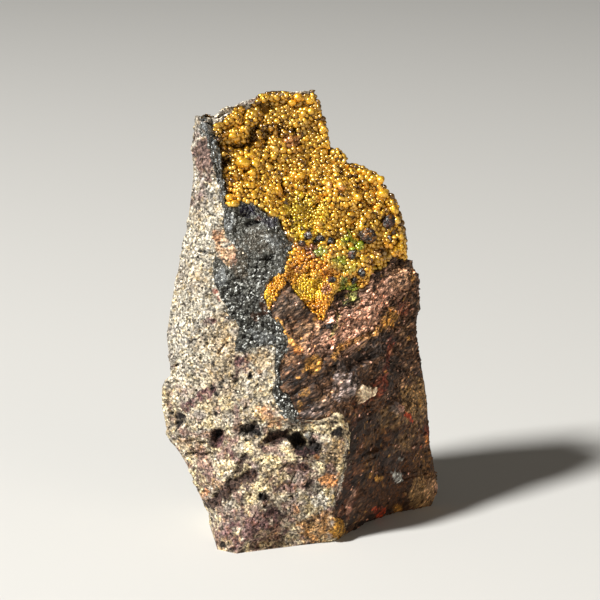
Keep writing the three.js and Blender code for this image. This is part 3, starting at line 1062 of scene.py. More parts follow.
def golden_beads(surface, inside, height):
    """The botryoids: rounded beads that crowd on the floor, finer low down, with painted shade in the
    hollows, high up and on their lower halves, and a painted highlight on their tops.
    """
    dice = np.random.default_rng(SEED + 3)
    chance, shade = dice.random(len(inside)), dice.random(len(inside))
    sizes = BEAD_SIZE + BEAD_SPREAD * shade
    sizes = np.where(chance > 1 - LARGE_BEAD_SHARE, LARGE_BEAD_SIZE + LARGE_BEAD_SPREAD * shade, sizes)
    lower = step(surface.down + 0.2 * (330 - surface.across), 240, 290)
    sizes = np.minimum(sizes, 1.0 - 0.4 * lower) * (1 - 0.36 * lower)
    sizes *= 1 - 0.15 * step(-surface.relief(GOLD_RELIEF), 0.3, 1.2)
    sizes *= 1 - 0.25 * surface.bump(*FINE_GOLD)
    sizes[(inside < 0.15) | (surface.inside(GOLD_OUTLINE) < 0.7 * sizes)] = 0
    for nodule in NODULES:
        sizes[surface.reach(*nodule) < 1.1] = 0
    points, triangles, picked, owners, depth = heap(
        surface, sizes, BEAD_CROWDING, BEAD_SHAPE, BEAD_UNEVENNESS)
    roots = surface.at(picked)
    tints = golden_tints(roots)
    shadow = 1 - 0.3 * step(height[picked], 0.1, -0.8) - 0.2 * step(roots.down, 185, 125)
    tints["tint"] *= shadow[:, None] * dice.uniform(0.82, 1.18, (len(picked), 1))
    gap_shade_strength = 0.95 - 0.1 * powdery(roots)
    # Each bead's top is painted paler gold, as a painted highlight.
    tint = paint(tints["tint"][owners], GOLD_PALE, step(depth, -0.8, -1.0) * 0.3)
    # The lower half of each bead is painted dark, as painted shade.
    tint = paint(tint, CREVICE_SHADE, step(depth, -0.65, -0.15) * gap_shade_strength[owners])
    return points, triangles, {"tint": tint, "metal": tints["metal"][owners]}


def golden_lumps(surface):
    """The larger golden lumps."""
    points, triangles, roots, owners = planted(surface, GOLD_LUMPS, 0.25, 0.16)
    tints = golden_tints(surface.at(roots))
    return points, triangles, {name: values[owners] for name, values in tints.items()}


def dark_nodules(surface):
    """The dark nodules in the gold: rough, slaty, and stained brown and gold in places."""
    points, triangles, _, _ = planted(surface, NODULES, 0.35, 0.22)
    mottle = rough(points, 1.0, 3, 95)
    tint = paint(SLATE_NODULE, NODULE_BROWN, step(mottle, 0.1, 0.6) * 0.8)
    tint = paint(tint, GOLD_DEEP, step(mottle, -0.4, -0.9) * 0.6)
    return points, triangles, {"tint": tint, "speckle": np.full(len(points), 0.5)}


# The dark crust.

SLATE = colour(98, 98, 91)
SLATE_BLUE = colour(138, 141, 141)
SLATE_BROWN = colour(96, 84, 68)
BLUE_PURPLE = colour(70, 66, 84)
BLACK = colour(34, 32, 30)
RUST_BROWN = colour(120, 82, 62)

DARK_SPOTS = [
    (SLATE_BROWN, 0.6, 240, 262, 9, 20), (SLATE_BROWN, 0.35, 258, 240, 20, 12),
    (SLATE_BLUE, 0.7, 228, 221, 6, 9), (SLATE_BLUE, 0.7, 222, 277, 7, 8),
    (SLATE_BLUE, 0.6, 277, 243, 12, 6, 30), (BLUE_PURPLE, 0.9, 248, 211, 9, 6),
    (BLUE_PURPLE, 0.5, 268, 222, 10, 6, 30), (RUST_BROWN, 0.5, 263, 306, 4, 10),
    (RUST_BROWN, 0.4, 255, 316, 6, 4), (RUST_BROWN, 0.4, 259, 220, 5, 3),
    (BLACK, 0.9, 254, 223, 8, 1.6, -5), (BLACK, 0.8, 270, 258, 9, 2.4, -35),
    (SLATE_BLUE, 0.5, 262, 336, 14, 6, 20), (SLATE_BLUE, 0.8, 214, 150, 4, 20, -20),
    (SLATE_BLUE, 0.6, 218, 190, 5, 16), (SLATE_BLUE, 0.9, 207, 125, 5, 9, -20),
    (BLACK, 0.3, 284, 404, 5, 6),
]
DARK_RELIEF = [
    (-1.2, 248, 211, 9, 6), (-0.8, 254, 223.5, 9, 2, -5), (0.4, 252, 219, 9, 2.5),
    (-1.0, 265, 262, 4, 9, 60), (0.6, 270, 250, 12, 4, -30), (0.5, 233, 222, 3, 9, 10),
    (0.3, 270, 238, 12, 8, 20), (0.3, 240, 300, 12, 8), (0.4, 262, 335, 14, 5, 15),
    (-0.4, 262, 318, 10, 3, 10), (0.5, 284, 340, 4, 7, -30), (0.4, 223, 275, 6, 7),
]


def dark_skin(surface, inside):
    """A thin slaty crust, finely warty, cracked, and rougher towards its lower end, with painted shade in
    the gaps between its warts.
    """
    points, normals = surface.points, surface.normals
    warts = beads(points, normals, 1.3, 0.62, 31)
    grit = beads(points, normals, 0.7, 0.6, 35)
    low = step(surface.down, 262, 292)
    height = 0.2 * rough(points, 3.0, 2, 30) + 0.2 * rough(points, 0.7, 2, 33) - 0.3
    height += (0.3 + 0.5 * low) * warts + (0.28 + 0.1 * low) * grit
    height += surface.relief(DARK_RELIEF)
    # The gaps between the warts are painted black, as painted shade.
    tint = paint(SLATE, BLACK, step(warts + grit, 0.45, 0.1) * (0.6 + 0.25 * low))
    tint = paint(tint, BLACK, low * 0.35)
    tint = surface.stained(tint, DARK_SPOTS)
    return turned_down(height, inside, 0.25, 1.2), {"tint": tint, "speckle": 0.62 + 0.38 * low}


# The iron-stained rock.

BROWN = colour(98, 70, 50)
DEEP_BROWN = colour(66, 46, 32)
LUMP_BROWN = colour(102, 84, 70)
LIGHT_BROWN = colour(190, 148, 110)
MAUVE = colour(248, 192, 162)
IRON_OCHRE = colour(226, 164, 76)
IRON_ORANGE = colour(226, 136, 56)
GREY_MAUVE = colour(160, 146, 142)
CHARCOAL = colour(56, 50, 48)
HOLLOW_GREY = colour(74, 68, 66)
IRON_RED = colour(136, 60, 42)
MOSS = colour(152, 152, 84)
PINK = colour(240, 186, 162)
SPOT_RED = colour(204, 76, 36)
FRAGMENT_CREAM = colour(255, 230, 194)
GREEN_BLACK = colour(58, 60, 28)
CRYSTAL_GREY = colour(196, 196, 188)
SIDE_BROWN = colour(74, 44, 20)
SIDE_OLIVE = colour(116, 82, 44)
SIDE_RED = colour(104, 58, 38)
SIDE_TAN = colour(158, 124, 82)
SIDE_SHADE = colour(34, 20, 11)

IRON_SPOTS = [
    (LUMP_BROWN, 0.9, *BROWN_LUMP), (LIGHT_BROWN, 0.8, 310, 330, 12, 9),
    (LIGHT_BROWN, 0.6, 302, 344, 9, 6, 20), (MAUVE, 0.9, 352, 326, 32, 22, -28),
    (MAUVE, 0.85, 372, 302, 20, 12, -20), (MAUVE, 0.55, 390, 286, 22, 16),
    (MAUVE, 0.7, 324, 346, 24, 12, -25), (LIGHT_BROWN, 0.6, 400, 276, 13, 14),
    (GREEN_BLACK, 0.9, 350, 300, 11, 8), (MOSS, 0.8, 352, 297, 6, 6, 20), (MOSS, 0.7, 345, 304, 3, 3),
    (CHARCOAL, 0.8, 340, 303, 4, 8), (BLACK, 1.0, 330, 326, 4.5, 3.5),
    (HOLLOW_GREY, 0.85, 350, 365, 26, 8, -30), (HOLLOW_GREY, 0.85, 380, 346, 18, 11, -30),
    (CHARCOAL, 0.7, 398, 261, 10, 4, 20), (CHARCOAL, 0.8, 377, 276, 7, 6),
    (GREY_MAUVE, 0.75, 344, 386, 16, 13, -35), (DEEP_BROWN, 1.0, 308, 376, 28, 16, -35),
    (DEEP_BROWN, 1.0, 304, 396, 18, 20), (GREY_MAUVE, 0.4, 320, 408, 18, 6, -30),
    (LIGHT_BROWN, 0.35, 322, 400, 8, 5, -30), (IRON_OCHRE, 0.4, 304, 392, 7, 4, -35),
    (IRON_OCHRE, 0.4, 300, 404, 3, 5), (IRON_OCHRE, 0.9, 279, 322, 4, 3.5),
    (IRON_OCHRE, 0.8, 314, 364, 10, 9, 20), (IRON_ORANGE, 0.7, 298, 350, 5, 5),
    (IRON_OCHRE, 0.85, 391, 318, 8, 9, 20), (IRON_OCHRE, 0.6, 382, 328, 9, 4, -30),
    (IRON_RED, 0.55, 403, 308, 8, 8), (IRON_RED, 0.7, 391, 348, 3, 12, 12),
    (IRON_RED, 0.85, 378, 386, 4, 9, 20), (CHARCOAL, 0.7, 388, 372, 12, 20, 10),
    (SIDE_BROWN, 1.0, 385, 465, 46, 66), (SIDE_TAN, 1.0, 416, 402, 14, 22, 10),
    (SIDE_TAN, 0.7, 392, 418, 12, 12), (SIDE_TAN, 1.0, 424, 496, 13, 20),
    (SIDE_TAN, 0.6, 404, 440, 8, 14, 30), (CHARCOAL, 0.6, 352, 448, 5, 36, 8),
    (CHARCOAL, 0.6, 372, 424, 16, 8, -30), (SIDE_OLIVE, 0.25, 412, 398, 12, 20, 20),
    (SIDE_OLIVE, 0.5, 364, 462, 12, 20, 20), (SIDE_OLIVE, 0.6, 424, 466, 10, 20),
    (SIDE_OLIVE, 0.5, 376, 438, 16, 6, -30), (SIDE_RED, 0.8, 344, 500, 8, 22, 10),
    (SIDE_RED, 0.5, 356, 470, 6, 30, 10), (SIDE_RED, 0.5, 360, 412, 10, 14, 20),
    (GREY_MAUVE, 0.6, 396, 408, 6, 5, -40), (PINK, 1.0, 400.5, 409.5, 3, 5, -35),
    (SPOT_RED, 1.0, 407, 415, 2.6, 4.4, -45), (SPOT_RED, 1.0, 411, 421, 2.6, 3.2, -45),
    (CHARCOAL, 0.7, 394, 458, 11, 13), (CRYSTAL_GREY, 1.0, 397, 476, 5, 5.5),
    (CRYSTAL_GREY, 0.6, 401, 459, 3, 2), (IRON_OCHRE, 0.6, 370, 476, 2.5, 4),
    (IRON_OCHRE, 0.7, 379, 479, 3.5, 2.5, 20), (SPOT_RED, 1.0, 379, 512, 6, 6),
    (SIDE_BROWN, 0.9, 379, 508, 2.5, 3), (IRON_OCHRE, 0.7, 397, 509, 5, 3, -25),
    (LIGHT_BROWN, 0.6, 431, 492, 9, 14), (PINK, 0.7, 437, 488, 3, 4),
    (IRON_ORANGE, 0.7, 427, 440, 2.5, 7, -10), (IRON_RED, 0.6, 426, 430, 3, 5),
    (IRON_RED, 0.8, 421, 448, 2.5, 2), (IRON_OCHRE, 0.5, 413, 276, 3, 8), (IRON_OCHRE, 0.5, 384, 276, 4, 2),
    (IRON_ORANGE, 0.4, 372, 300, 3, 3),
]
IRON_STREAKS = [
    (IRON_OCHRE, [(280, 324), (284, 332), (289, 340), (299, 349)], 2.6, 0.85),
    (IRON_OCHRE, [(334, 356), (341, 347), (356, 340), (369, 336), (381, 329), (394, 319)], 3.0, 0.75),
    (MOSS, [(338, 311), (337, 323), (331, 337)], 1.5, 0.8),
    (IRON_RED, [(366, 402), (376, 396), (384, 386), (383, 376)], 2.2, 0.6),
    (IRON_RED, [(392, 341), (384, 373), (375, 385)], 3.0, 0.5),
    (MAUVE, [(353, 491), (350, 503), (348, 512)], 2.5, 0.7),
    (IRON_RED, [(352, 500), (347, 518)], 2.0, 0.5),
]
IRON_RELIEF = [
    (0.8, 291, 303, 20, 14, 20), (0.4, 283, 300, 7, 6), (0.5, 298, 306, 8, 6), (0.4, 310, 329, 10, 7),
    (0.6, 330, 326, 4, 3), (-1.2, 352, 362, 22, 6, -28), (-0.9, 378, 345, 14, 7, -28),
    (0.6, 356, 344, 24, 4, -25), (0.5, 344, 388, 14, 12, -30), (-0.6, 341, 306, 5, 8),
    (0.6, 400, 409, 3, 4, -35), (0.7, 397, 477, 5, 5), (-0.8, 380, 445, 8, 30, 15),
    (0.5, 410, 430, 10, 30, 10), (0.4, 370, 500, 12, 10), (0.4, 322, 402, 16, 10), (0.5, 388, 285, 12, 10),
    (-0.5, 398, 262, 9, 4, 10), (-0.6, 420, 294, 5, 14), (-0.4, 428, 412, 5, 14),
]


def iron_tints(surface):
    """The colour of the stained rock: brown, with mauve, ochre, green and red stains that are broken up."""
    points = surface.points
    grain = combed(points, COMB, 3.0)
    broken = 0.45 + 0.55 * step(rough(grain, 0.9, 3, 45), -0.5, 0.5)
    tint = paint(BROWN, DEEP_BROWN, step(rough(grain, 2.2, 3, 46), 0.0, 0.8) * 0.7)
    tint = paint(tint, LIGHT_BROWN, step(rough(grain, 1.6, 3, 48), 0.3, 0.9) * 0.5)
    tint = surface.stained(tint, IRON_SPOTS, broken)
    tint = surface.streaked(tint, IRON_STREAKS, broken)
    return paint(tint, IRON_OCHRE, step(rough(points, 1.5, 3, 42), 0.75, 1.1) * 0.5)


def iron_skin(surface, inside):
    """Rough brown rock, combed from lower left to upper right, with a lump between the gold lobes."""
    points, normals = surface.points, surface.normals
    knobs = beads(points, normals, 2.6, 0.6, 41)
    warts = beads(points, normals, 1.1, 0.6, 43)
    lump = surface.bump(*BROWN_LUMP)
    side = step(surface.across + 0.25 * (surface.down - 430), 342, 352) * step(surface.down, 395, 425)
    combing = 0.45 * rough(combed(points, COMB, 3.5), 1.3, 3, 40)
    combing += 0.4 * chips(combed(points, COMB, 2.6), 1.5, 44)
    height = 0.5 * rough(points, 5.0, 2, 39) + combing * (1 - 0.7 * lump) * (1 - 0.55 * side)
    height += (knobs * 0.3 - 0.3) * (1 - 0.7 * side) + warts * (0.15 + 0.25 * lump) * (1 - 0.5 * side) - 0.1
    height += surface.relief(IRON_RELIEF)
    height = kept_up(surface, height - 0.4 * step(surface.facing, 0.4, 0.05))
    tint = iron_tints(surface)
    # The low parts of the combing are painted deep brown, as painted shade.
    combing_shade = step(combing + 0.3 * warts, 0.0, -0.45)
    tint = paint(tint, DEEP_BROWN, combing_shade * 0.7)
    gloom = rough(combed(points, COMB, 2.2), 2.2, 3, 49)
    shade = step(gloom - (surface.across - 385) / 90, 0.0, 0.6)
    tint = paint(tint, SIDE_SHADE, side * shade * 0.85)
    fragment = step(surface.inside(FRAGMENT_OUTLINE), -0.15, 0.15)
    blades = rough(combed(points, BLADES, 4.0), 0.9, 2, 47)
    height = height * (1 - fragment) + (1.1 + 0.35 * blades) * fragment
    tint = paint(tint, FRAGMENT_CREAM, fragment)
    tint = paint(tint, LIGHT_BROWN, fragment * step(blades, 0.1, -0.6) * 0.7)
    speckle = 1 - np.maximum(0.6 * fragment, 0.35 * side)
    return turned_down(height, inside, 0.25, 1.2), {"tint": tint, "speckle": speckle}


def iron_grains(surface, inside):
    """Small rough grains on the stained rock, drawn out along its combing, most of them above its hollows,
    with painted shade on their lower halves.
    """
    dice = np.random.default_rng(SEED + 5)
    sizes = GRAIN_SIZE + GRAIN_SPREAD * dice.random(len(inside)) ** 2
    upper = step(surface.down + 0.5 * (surface.across - 340), 380, 330) * step(surface.across, 310, 330)
    green = surface.bump(*GREEN_GRAINS)
    everywhere, more_above, more_in_green = GRAIN_SHARES
    sizes[dice.random(len(inside)) > everywhere + more_above * upper + more_in_green * green] = 0
    sizes[(inside < 0.2) | (surface.inside(FRAGMENT_OUTLINE) > -0.4)] = 0
    points, triangles, picked, owners, depth = heap(
        surface, sizes, GRAIN_CROWDING, GRAIN_SHAPE, GRAIN_UNEVENNESS, COMB)
    tint = iron_tints(surface.at(picked))
    tint = paint(tint, PINK, (dice.random(len(picked)) > 0.85) * 0.4)
    tint *= dice.uniform(0.6, 1.5, (len(picked), 1))
    # Each grain's lower half is painted dark brown, as painted shade.
    tint = paint(tint[owners], DEEP_BROWN, step(depth, -0.5, 0.1) * 0.8)
    return points, triangles, {"tint": tint, "speckle": np.ones(len(points))}


# The host rock.

CREAM = colour(182, 175, 159)
TAN = colour(182, 158, 122)
WHITE = colour(220, 214, 200)
GREY = colour(134, 128, 121)
PURPLE = colour(104, 72, 73)
DARK_PURPLE = colour(62, 42, 41)
RUST = colour(176, 116, 74)
RED_GREY = colour(114, 94, 86)
MUSTARD = colour(158, 116, 50)
CORNER_OCHRE = colour(196, 144, 86)
LIGHT_RUST = colour(248, 176, 110)
CRACK_BROWN = colour(70, 52, 46)
AMBER = colour(208, 148, 92)
PALE_GREY = colour(160, 164, 158)
# Near-black: dark crystals in pits and holes, and painted shade in the deep cavity under the brim.
DARK_CRYSTALS_AND_SHADE = colour(30, 26, 24)
SPECK = colour(62, 52, 54)
BLOTCH_PINK = colour(146, 110, 103)
BLOTCH_CREAM = colour(228, 210, 166)
WEATHERED = colour(110, 86, 68)

# The dark purple spot at 305, 450 is painted shade in the big cavity under the brim; the near-black spots
# are dark crystals in pits.
PALE_SPOTS = [
    (RED_GREY, 1.0, 204, 155, 12, 26, -8), (GREY, 0.9, 203, 122, 7, 12, 10),
    (WHITE, 1.0, 232, 104, 22, 10, -25), (WHITE, 1.0, 296, 90, 18, 7), (AMBER, 0.55, 219, 242, 5, 13),
    (LIGHT_BROWN, 0.75, 229, 255, 9, 12), (RUST, 0.6, 217, 236, 4, 7), (PINK, 0.4, 235, 260, 4, 5),
    (IRON_RED, 0.8, 214.6, 291, 3, 2.5, 30), (IRON_RED, 0.6, 219, 299, 1.5, 4, -30),
    (GREY, 0.5, 199, 209, 8, 6, 20), (GREY, 0.4, 206, 193, 10, 5), (PURPLE, 0.5, 197, 196, 5, 5),
    (PURPLE, 0.9, 209, 321, 7, 4), (PURPLE, 0.6, 226, 317, 6, 2), (PURPLE, 0.95, 242, 362, 8, 11),
    (DARK_PURPLE, 0.9, 250, 376, 3, 3), (DARK_PURPLE, 0.9, 235, 379, 3.6, 4),
    (PURPLE, 0.8, 235.5, 411, 5, 5), (PURPLE, 0.6, 172, 393, 3, 3), (PURPLE, 0.6, 170, 406, 4, 5),
    (GREY, 0.7, 201, 414, 8, 6), (DARK_PURPLE, 0.8, 178, 420, 8, 7), (GREY, 0.4, 192, 384, 5, 3),
    (PURPLE, 0.5, 255, 466, 5, 4), (AMBER, 0.6, 260, 391, 3, 2), (AMBER, 0.6, 260, 410, 5, 4),
    (RUST, 0.6, 272, 420, 9, 6, 20), (TAN, 0.4, 215, 340, 20, 14), (CRACK_BROWN, 1.0, 215, 438, 8, 9, 20),
    (PURPLE, 0.85, 228, 453, 8, 6, 30), (GREY, 0.6, 249, 431, 12, 7, 5),
    (DARK_PURPLE, 1.0, 305, 450, 17, 8, 10), (CRACK_BROWN, 0.95, 277, 438, 13, 6, -25),
    (TAN, 0.7, 262, 360, 14, 12), (AMBER, 0.35, 266, 414, 9, 9, 20), (TAN, 0.8, 338, 447, 9, 11),
    (AMBER, 0.35, 340, 450, 5, 8), (PALE_GREY, 0.9, 307.5, 435.5, 4, 4.5), (PURPLE, 0.7, 290, 466, 12, 9),
    (TAN, 0.7, 336, 452, 10, 14), (RUST, 0.7, 330, 481, 10, 10, 20), (LIGHT_RUST, 0.65, 330, 481, 9, 8),
    (DARK_PURPLE, 0.85, 309.6, 487, 5, 6, 20), (PURPLE, 0.8, 279, 517, 11, 8, 20),
    (RUST, 0.6, 275, 531, 8, 7), (PURPLE, 0.7, 254, 520, 18, 18), (DARK_PURPLE, 0.7, 282, 514, 9, 7, 20),
    (PURPLE, 0.8, 226, 538, 14, 16, 20), (PURPLE, 0.7, 262, 532, 26, 14),
    (DARK_PURPLE, 0.9, 248, 494, 5, 5), (WHITE, 0.9, 321, 501, 10, 9, -20), (PURPLE, 0.6, 296, 470, 14, 8),
    (DARK_PURPLE, 0.8, 270, 508, 10, 7, 20), (WHITE, 0.6, 346, 452, 2, 14, 5),
    (WHITE, 0.7, 341, 484, 2.4, 12, 20), (AMBER, 0.6, 296, 509, 3, 5),
    (CORNER_OCHRE, 0.8, 318, 528, 20, 17), (DARK_PURPLE, 0.7, 312, 521, 6, 4, 20),
    (MUSTARD, 1.0, 337, 529, 7, 13, 10), (TAN, 0.6, 216, 484, 10, 6, 30), (AMBER, 0.5, 317, 456, 4, 2.4),
    (AMBER, 0.5, 283, 418, 4, 2.5), (RUST, 0.7, 202, 494, 8, 4, -35), (AMBER, 0.5, 259, 371, 4, 2),
    (TAN, 0.4, 190, 445, 14, 8), (PURPLE, 0.5, 205, 478, 6, 4), (WHITE, 0.4, 180, 340, 8, 20),
    (GREY, 0.4, 225, 385, 6, 4), (DARK_PURPLE, 0.9, 213, 391, 4.5, 4, 30), (DARK_CRYSTALS_AND_SHADE, 0.99, 263, 497, 7, 6.4),
    (DARK_CRYSTALS_AND_SHADE, 0.99, 337.5, 433, 6.8, 6), (DARK_CRYSTALS_AND_SHADE, 0.99, 246, 429, 8, 5, 10), (DARK_CRYSTALS_AND_SHADE, 0.99, 253, 432, 7, 5, 20),
    (DARK_CRYSTALS_AND_SHADE, 0.99, 179, 421, 7, 7),
]
PALE_STREAKS = [
    (PURPLE, [(213, 389), (198, 399), (185, 409)], 5.2, 1.0), (TAN, [(226, 340), (218, 354)], 2.5, 0.7),
    (PURPLE, [(216, 440), (228, 452), (240, 460)], 3.6, 0.8),
]
# Holes painted near-black: dark crystals in most, and painted shade in the deep cavity under the brim at
# 298, 440 and 313, 445.
HOLES = [
    (298, 440, 9, 6, 15), (313, 445, 9, 5, 25), (215, 436, 3, 5, 20), (265, 509, 2.6, 2.6),
    (211, 389, 2.4, 2.2), (216.5, 394, 2.6, 2.2), (241, 431, 2.8, 2.6), (258, 434, 3, 2.4),
    (247, 434, 2.6, 2.2), (308, 486, 2.4, 2.4), (250, 377, 2.4, 2.4), (216, 415, 2.6, 2.2),
    (222, 545, 3, 4, 20), (280, 512, 3, 2.4), (263, 497, 5, 4.6), (337, 433, 4.4, 4),
]
BLACK_DOTS = [
    (195, 356), (182.5, 361), (184, 368.5), (231, 363), (212, 363), (243, 380), (219, 384), (221.5, 387),
    (210, 386.5), (215, 414.5), (204, 252), (198, 257), (201, 251), (187, 276), (243, 429), (247, 433),
    (206, 430), (252, 428), (262, 460), (226, 371), (183, 305), (236, 391), (213, 365), (256, 432),
    (240, 433), (251, 435), (259, 434), (174, 419), (180, 424), (182, 418), (214, 437), (218, 442),
    (248, 425), (245, 436), (254, 424), (258, 429), (240, 438), (247, 441), (255, 438), (176, 425),
    (183, 423), (171, 414), (233, 376), (250, 376), (237, 381), (331, 454), (336, 458), (222, 381),
    (196, 391), (188, 427), (227, 398), (246, 408), (257, 385), (271, 378), (240, 345), (206, 344),
]
PALE_RELIEF = [
    (-0.4, 249, 430, 10, 4, 5), (0.9, 240, 423, 14, 2.5, -14), (-0.8, 277, 438, 11, 5, -25),
    (-3.2, 297.5, 440, 8, 6, 15), (-2.6, 313, 445, 9, 5, 25), (0.8, 325, 418, 22, 4, -14),
    (0.5, 186, 233, 5, 26, 12), (1.0, 165, 388, 6, 14), (-1.0, 170, 437, 6, 10), (-0.8, 306, 451, 14, 4, 5),
    (2.2, 307.5, 435.5, 3.4, 4), (-2.0, 216, 438, 7, 7, 20), (-1.2, 262.6, 495.7, 4, 4),
    (-0.5, 178, 420, 8, 7), (0.3, 338, 433, 5, 5), (-0.7, 309.6, 487, 5, 6, 20), (0.9, 337, 529, 7, 12, 10),
    (0.9, 290, 427, 26, 3, 3), (-0.8, 213, 391, 4, 3, 30), (0.4, 230, 257, 8, 10), (-0.6, 300, 465, 20, 8),
    (-0.6, 248, 499, 4, 4), (0.5, 225, 500, 14, 6, -40), (-0.3, 252, 376, 4, 4), (-0.3, 242, 362, 8, 10),
    (0.5, 196, 430, 12, 8),
]
CRACKS = [
    ([(185, 456), (192, 454), (198, 456), (206, 454), (218, 453)], 1.6, -0.65),
    ([(186, 441), (192, 440), (198, 442), (211, 443)], 1.6, -0.55),
    ([(245, 457), (241, 464), (237, 472)], 3.6, -1.0),
    ([(251, 474), (243, 480), (237, 483), (229, 490), (222, 494), (213, 503)], 7.2, -1.1),
    ([(261, 446), (267, 441), (276, 434), (289, 431)], 3.0, -0.9),
    ([(218, 354), (222, 347), (227, 343)], 1.0, -0.6), ([(190, 344), (204, 334)], 1.0, -0.5),
    ([(167, 367), (176, 366)], 1.6, -1.0), ([(296, 474), (290, 486), (293, 500)], 1.2, -0.5),
]
DOT_SIZE = 1.6
# The dip in the crest behind the left spur: an oval in the picture, and its depth in millimetres.
TOP_NOTCH = (209, 110, 13, 8)
TOP_NOTCH_DEPTH = 2.3


def on_face(surface):
    """1 where the rock faces the camera, 0 where it faces away."""
    return step(surface.facing, -0.05, 0.1)


def on_back(surface):
    """1 where the rock faces well away from the camera."""
    return step(surface.facing, -0.12, -0.35)


def healed_cracks(surface):
    """1 along the healed cracks in the rock's back."""
    return step(np.abs(rough(surface.points, 16.0, 2, 79)), 0.09, 0.02) * on_back(surface)


def host_relief(surface, inside):
    """Chips and pits all over, the holes and cracks of the face, and hollows in the back."""
    points = surface.points
    front = on_face(surface)
    height = 0.4 * rough(points, 5.0, 2, 50) + 0.32 * chips(points, 1.9, 55)
    height += 0.2 * rough(combed(points, HOST_COMB, 1.8), 1.1, 3, 53)
    height -= 0.8 * pits(points, 2.6, 0.3, 0.2, 0.7, 58) + 0.1
    height *= 1 - 0.75 * step(inside, -0.5, 0.2)
    calm = 0.25 + 0.75 * step(points[:, 2], 92, 76)     # the back of the thin crest is kept smoother
    hollows = pits(points, 6.0, 0.22, 0.6, 1.7, 59)
    height += (0.28 * chips(points, 7.0, 57) - 0.7 * hollows) * on_back(surface) * calm
    height -= 0.6 * healed_cracks(surface) * calm
    for x, y in BLACK_DOTS:
        height -= 0.5 * surface.bump(x, y, DOT_SIZE, DOT_SIZE) * front
    height += surface.relief(PALE_RELIEF) * front
    for line, half_width, rise in CRACKS:
        height += rise * surface.streak(line, half_width) * front
    near_base = step(points[:, 2], 2.0, 0.3)
    return np.where(height > 0, height * (1 - near_base), height)


def host_tint(surface):
    """Cream rock with purple, rust and dark marks on its face, and mottled red-grey on its back. The dark
    marks in its holes and cracks are partly painted shade.
    """
    points = surface.points
    front = on_face(surface)
    low = step(surface.down, 330, 460) * front
    tint = paint(CREAM, TAN, step(rough(points, 9.0, 3, 60), 0.0, 0.9) * 0.6)
    tint = paint(tint, TAN, low * 0.35)
    tint = paint(tint, PURPLE, step(rough(points, 4.0, 3, 63) + 0.35 * low, 0.65, 1.05) * 0.6)
    mottle = rough(points, 1.3, 3, 74)
    tint = paint(tint, WHITE, step(mottle, 0.4, 0.9) * 0.5)
    tint = paint(tint, SPECK, step(mottle, -0.35, -0.85) * (0.25 + 0.6 * low))
    blotch = rough(points, 2.2, 3, 76)
    tint = paint(tint, BLOTCH_PINK, step(blotch, 0.2, 0.6) * 0.7 * low)
    tint = paint(tint, BLOTCH_CREAM, step(blotch, -0.1, -0.5) * 0.75 * low)
    clouds = rough(combed(points, HOST_COMB, 1.8), 3.5, 3, 66)
    tint = paint(tint, GREY, step(clouds, 0.3, 0.9) * 0.6)
    tint = paint(tint, RED_GREY, step(rough(points, 6.0, 3, 78), 0.0, 0.7) * (1 - front) * 0.85)
    tint = paint(tint, BLOTCH_CREAM, step(blotch, -0.1, -0.6) * (1 - front) * 0.6)
    tint = paint(tint, CRACK_BROWN, healed_cracks(surface) * 0.8)
    rightward = surface.normals[:, 0] + 0.35 * rough(points, 12.0, 3, 70)
    tint = paint(tint, WEATHERED, step(rightward, 0.0, 0.5) * (1 - front) * 0.9)
    patchy = 0.6 + 0.4 * step(rough(points, 1.0, 3, 72), -0.45, 0.2)
    tint = surface.stained(tint, PALE_SPOTS, patchy, front)
    tint = surface.streaked(tint, PALE_STREAKS, patchy * front)
    # Holes are painted near-black: dark crystals in most, painted shade in the deep cavity.
    for hole in HOLES:
        tint = paint(tint, DARK_CRYSTALS_AND_SHADE, surface.spot(*hole) * 0.97 * front)
    for x, y in BLACK_DOTS:
        tint = paint(tint, DARK_CRYSTALS_AND_SHADE, surface.bump(x, y, DOT_SIZE, DOT_SIZE) * front)
    # Cracks are painted brown, darker the deeper they are: partly a stain, partly painted shade.
    for line, half_width, rise in CRACKS:
        tint = paint(tint, CRACK_BROWN, surface.streak(line, half_width) * front * min(-0.9 * rise, 0.97))
    return tint


def host_rock():
    """The whole block. Under the crusts it sinks out of sight, and its back is finished as its face is."""
    def longest(surface):
        visible = np.where(surface.facing > FACE_FROM, FACE_EDGE, BACK_EDGE)
        return np.where(surface.within(CRUST_OUTLINE) > HIDDEN_FROM, HIDDEN_EDGE, visible)
    points, triangles = cut_finer(block_points, block_triangles, FACE_EDGE, longest)
    surface = Surface(points, normals_of(points, triangles))
    inside = surface.within(CRUST_OUTLINE)
    covered = np.minimum(inside, (surface.facing - 0.05) * WRAP)
    height = host_relief(surface, inside)
    height -= 0.9 * step(inside, 0.0, 0.6) + 0.9 * step(covered, 0.0, 1.0) + 2.0 * step(covered, 1.0, 3.5)
    height = sunk(points, surface.normals, height, HOST_SHARE)
    skin = points + surface.normals * height[:, None]
    skin[:, 2] -= TOP_NOTCH_DEPTH * surface.bump(*TOP_NOTCH)
    skin[:, 2] = np.where(points[:, 2] < 0.01, 0, np.maximum(skin[:, 2], LOWEST_SIDE))
    make_piece("host_rock", skin, triangles, {"tint": host_tint(surface)}, host_finish())


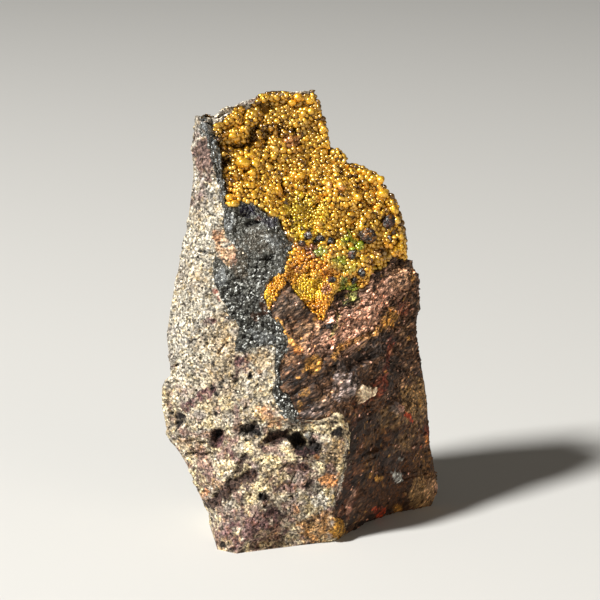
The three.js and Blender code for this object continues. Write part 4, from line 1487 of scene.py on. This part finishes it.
host_rock()
gold = golden_finish()
gold_floor, gold_inside, gold_height = crust(
    "golden_crust", GOLD_OUTLINE, GOLD_EDGE, GOLD_BURIED, golden_skin, gold)
make_piece("golden_beads", *golden_beads(gold_floor, gold_inside, gold_height), gold)
make_piece("golden_lumps", *golden_lumps(gold_floor), gold)
dark = dark_finish()
make_piece("dark_nodules", *dark_nodules(gold_floor), dark)
crust("dark_crust", DARK_OUTLINE, DARK_EDGE, DARK_BURIED, dark_skin, dark)
iron = iron_finish()
iron_floor, iron_inside, _ = crust(
    "iron_crust", IRON_OUTLINE, IRON_EDGE, IRON_BURIED, iron_skin, iron)
make_piece("iron_grains", *iron_grains(iron_floor, iron_inside), iron)


# The camera, the floor and the lights.

def camera():
    """The camera of the photograph."""
    data = bpy.data.cameras.new("camera")
    data.sensor_fit = "HORIZONTAL"
    data.sensor_width = SENSOR_WIDTH
    data.lens = SENSOR_WIDTH * PIXELS_PER_MM * CAMERA_DISTANCE / PICTURE_SIZE
    eye = placed("camera", data)
    eye.location = CAMERA_PLACE * MM
    eye.rotation_euler = Vector(AHEAD).to_track_quat("-Z", "Y").to_euler()
    bpy.context.scene.camera = eye


def area_light(name, place, width, power, shade):
    data = bpy.data.lights.new(name, "AREA")
    data.color = shade
    data.shape = "DISK"
    data.size = width
    data.energy = power
    lamp = placed(name, data)
    lamp.location = place
    lamp.rotation_euler = (Vector(LIGHT_TARGET) - Vector(place)).to_track_quat("-Z", "Y").to_euler()


def plain_floor():
    mesh = bpy.data.meshes.new("floor")
    corners = [(x * FLOOR_HALF, y * FLOOR_HALF, 0) for x, y in ((-1, -1), (1, -1), (1, 1), (-1, 1))]
    mesh.from_pydata(corners, [], [(0, 1, 2, 3)])
    finish = Finish("floor", 0.9)
    finish.set("Base Color", FLOOR_COLOUR)
    mesh.materials.append(finish.material)
    placed("floor", mesh)


def studio():
    """A plain floor under a faint sky, a hard key light from the left and a weak fill from the right."""
    plain_floor()
    world = bpy.data.worlds.new("world")
    world.use_nodes = True
    sky = world.node_tree.nodes["Background"]
    sky.inputs["Color"].default_value = SKY_COLOUR
    sky.inputs["Strength"].default_value = SKY_STRENGTH
    bpy.context.scene.world = world
    bpy.context.scene.view_settings.view_transform = "Standard"
    for light in LIGHTS:
        area_light(*light)


camera()
studio()
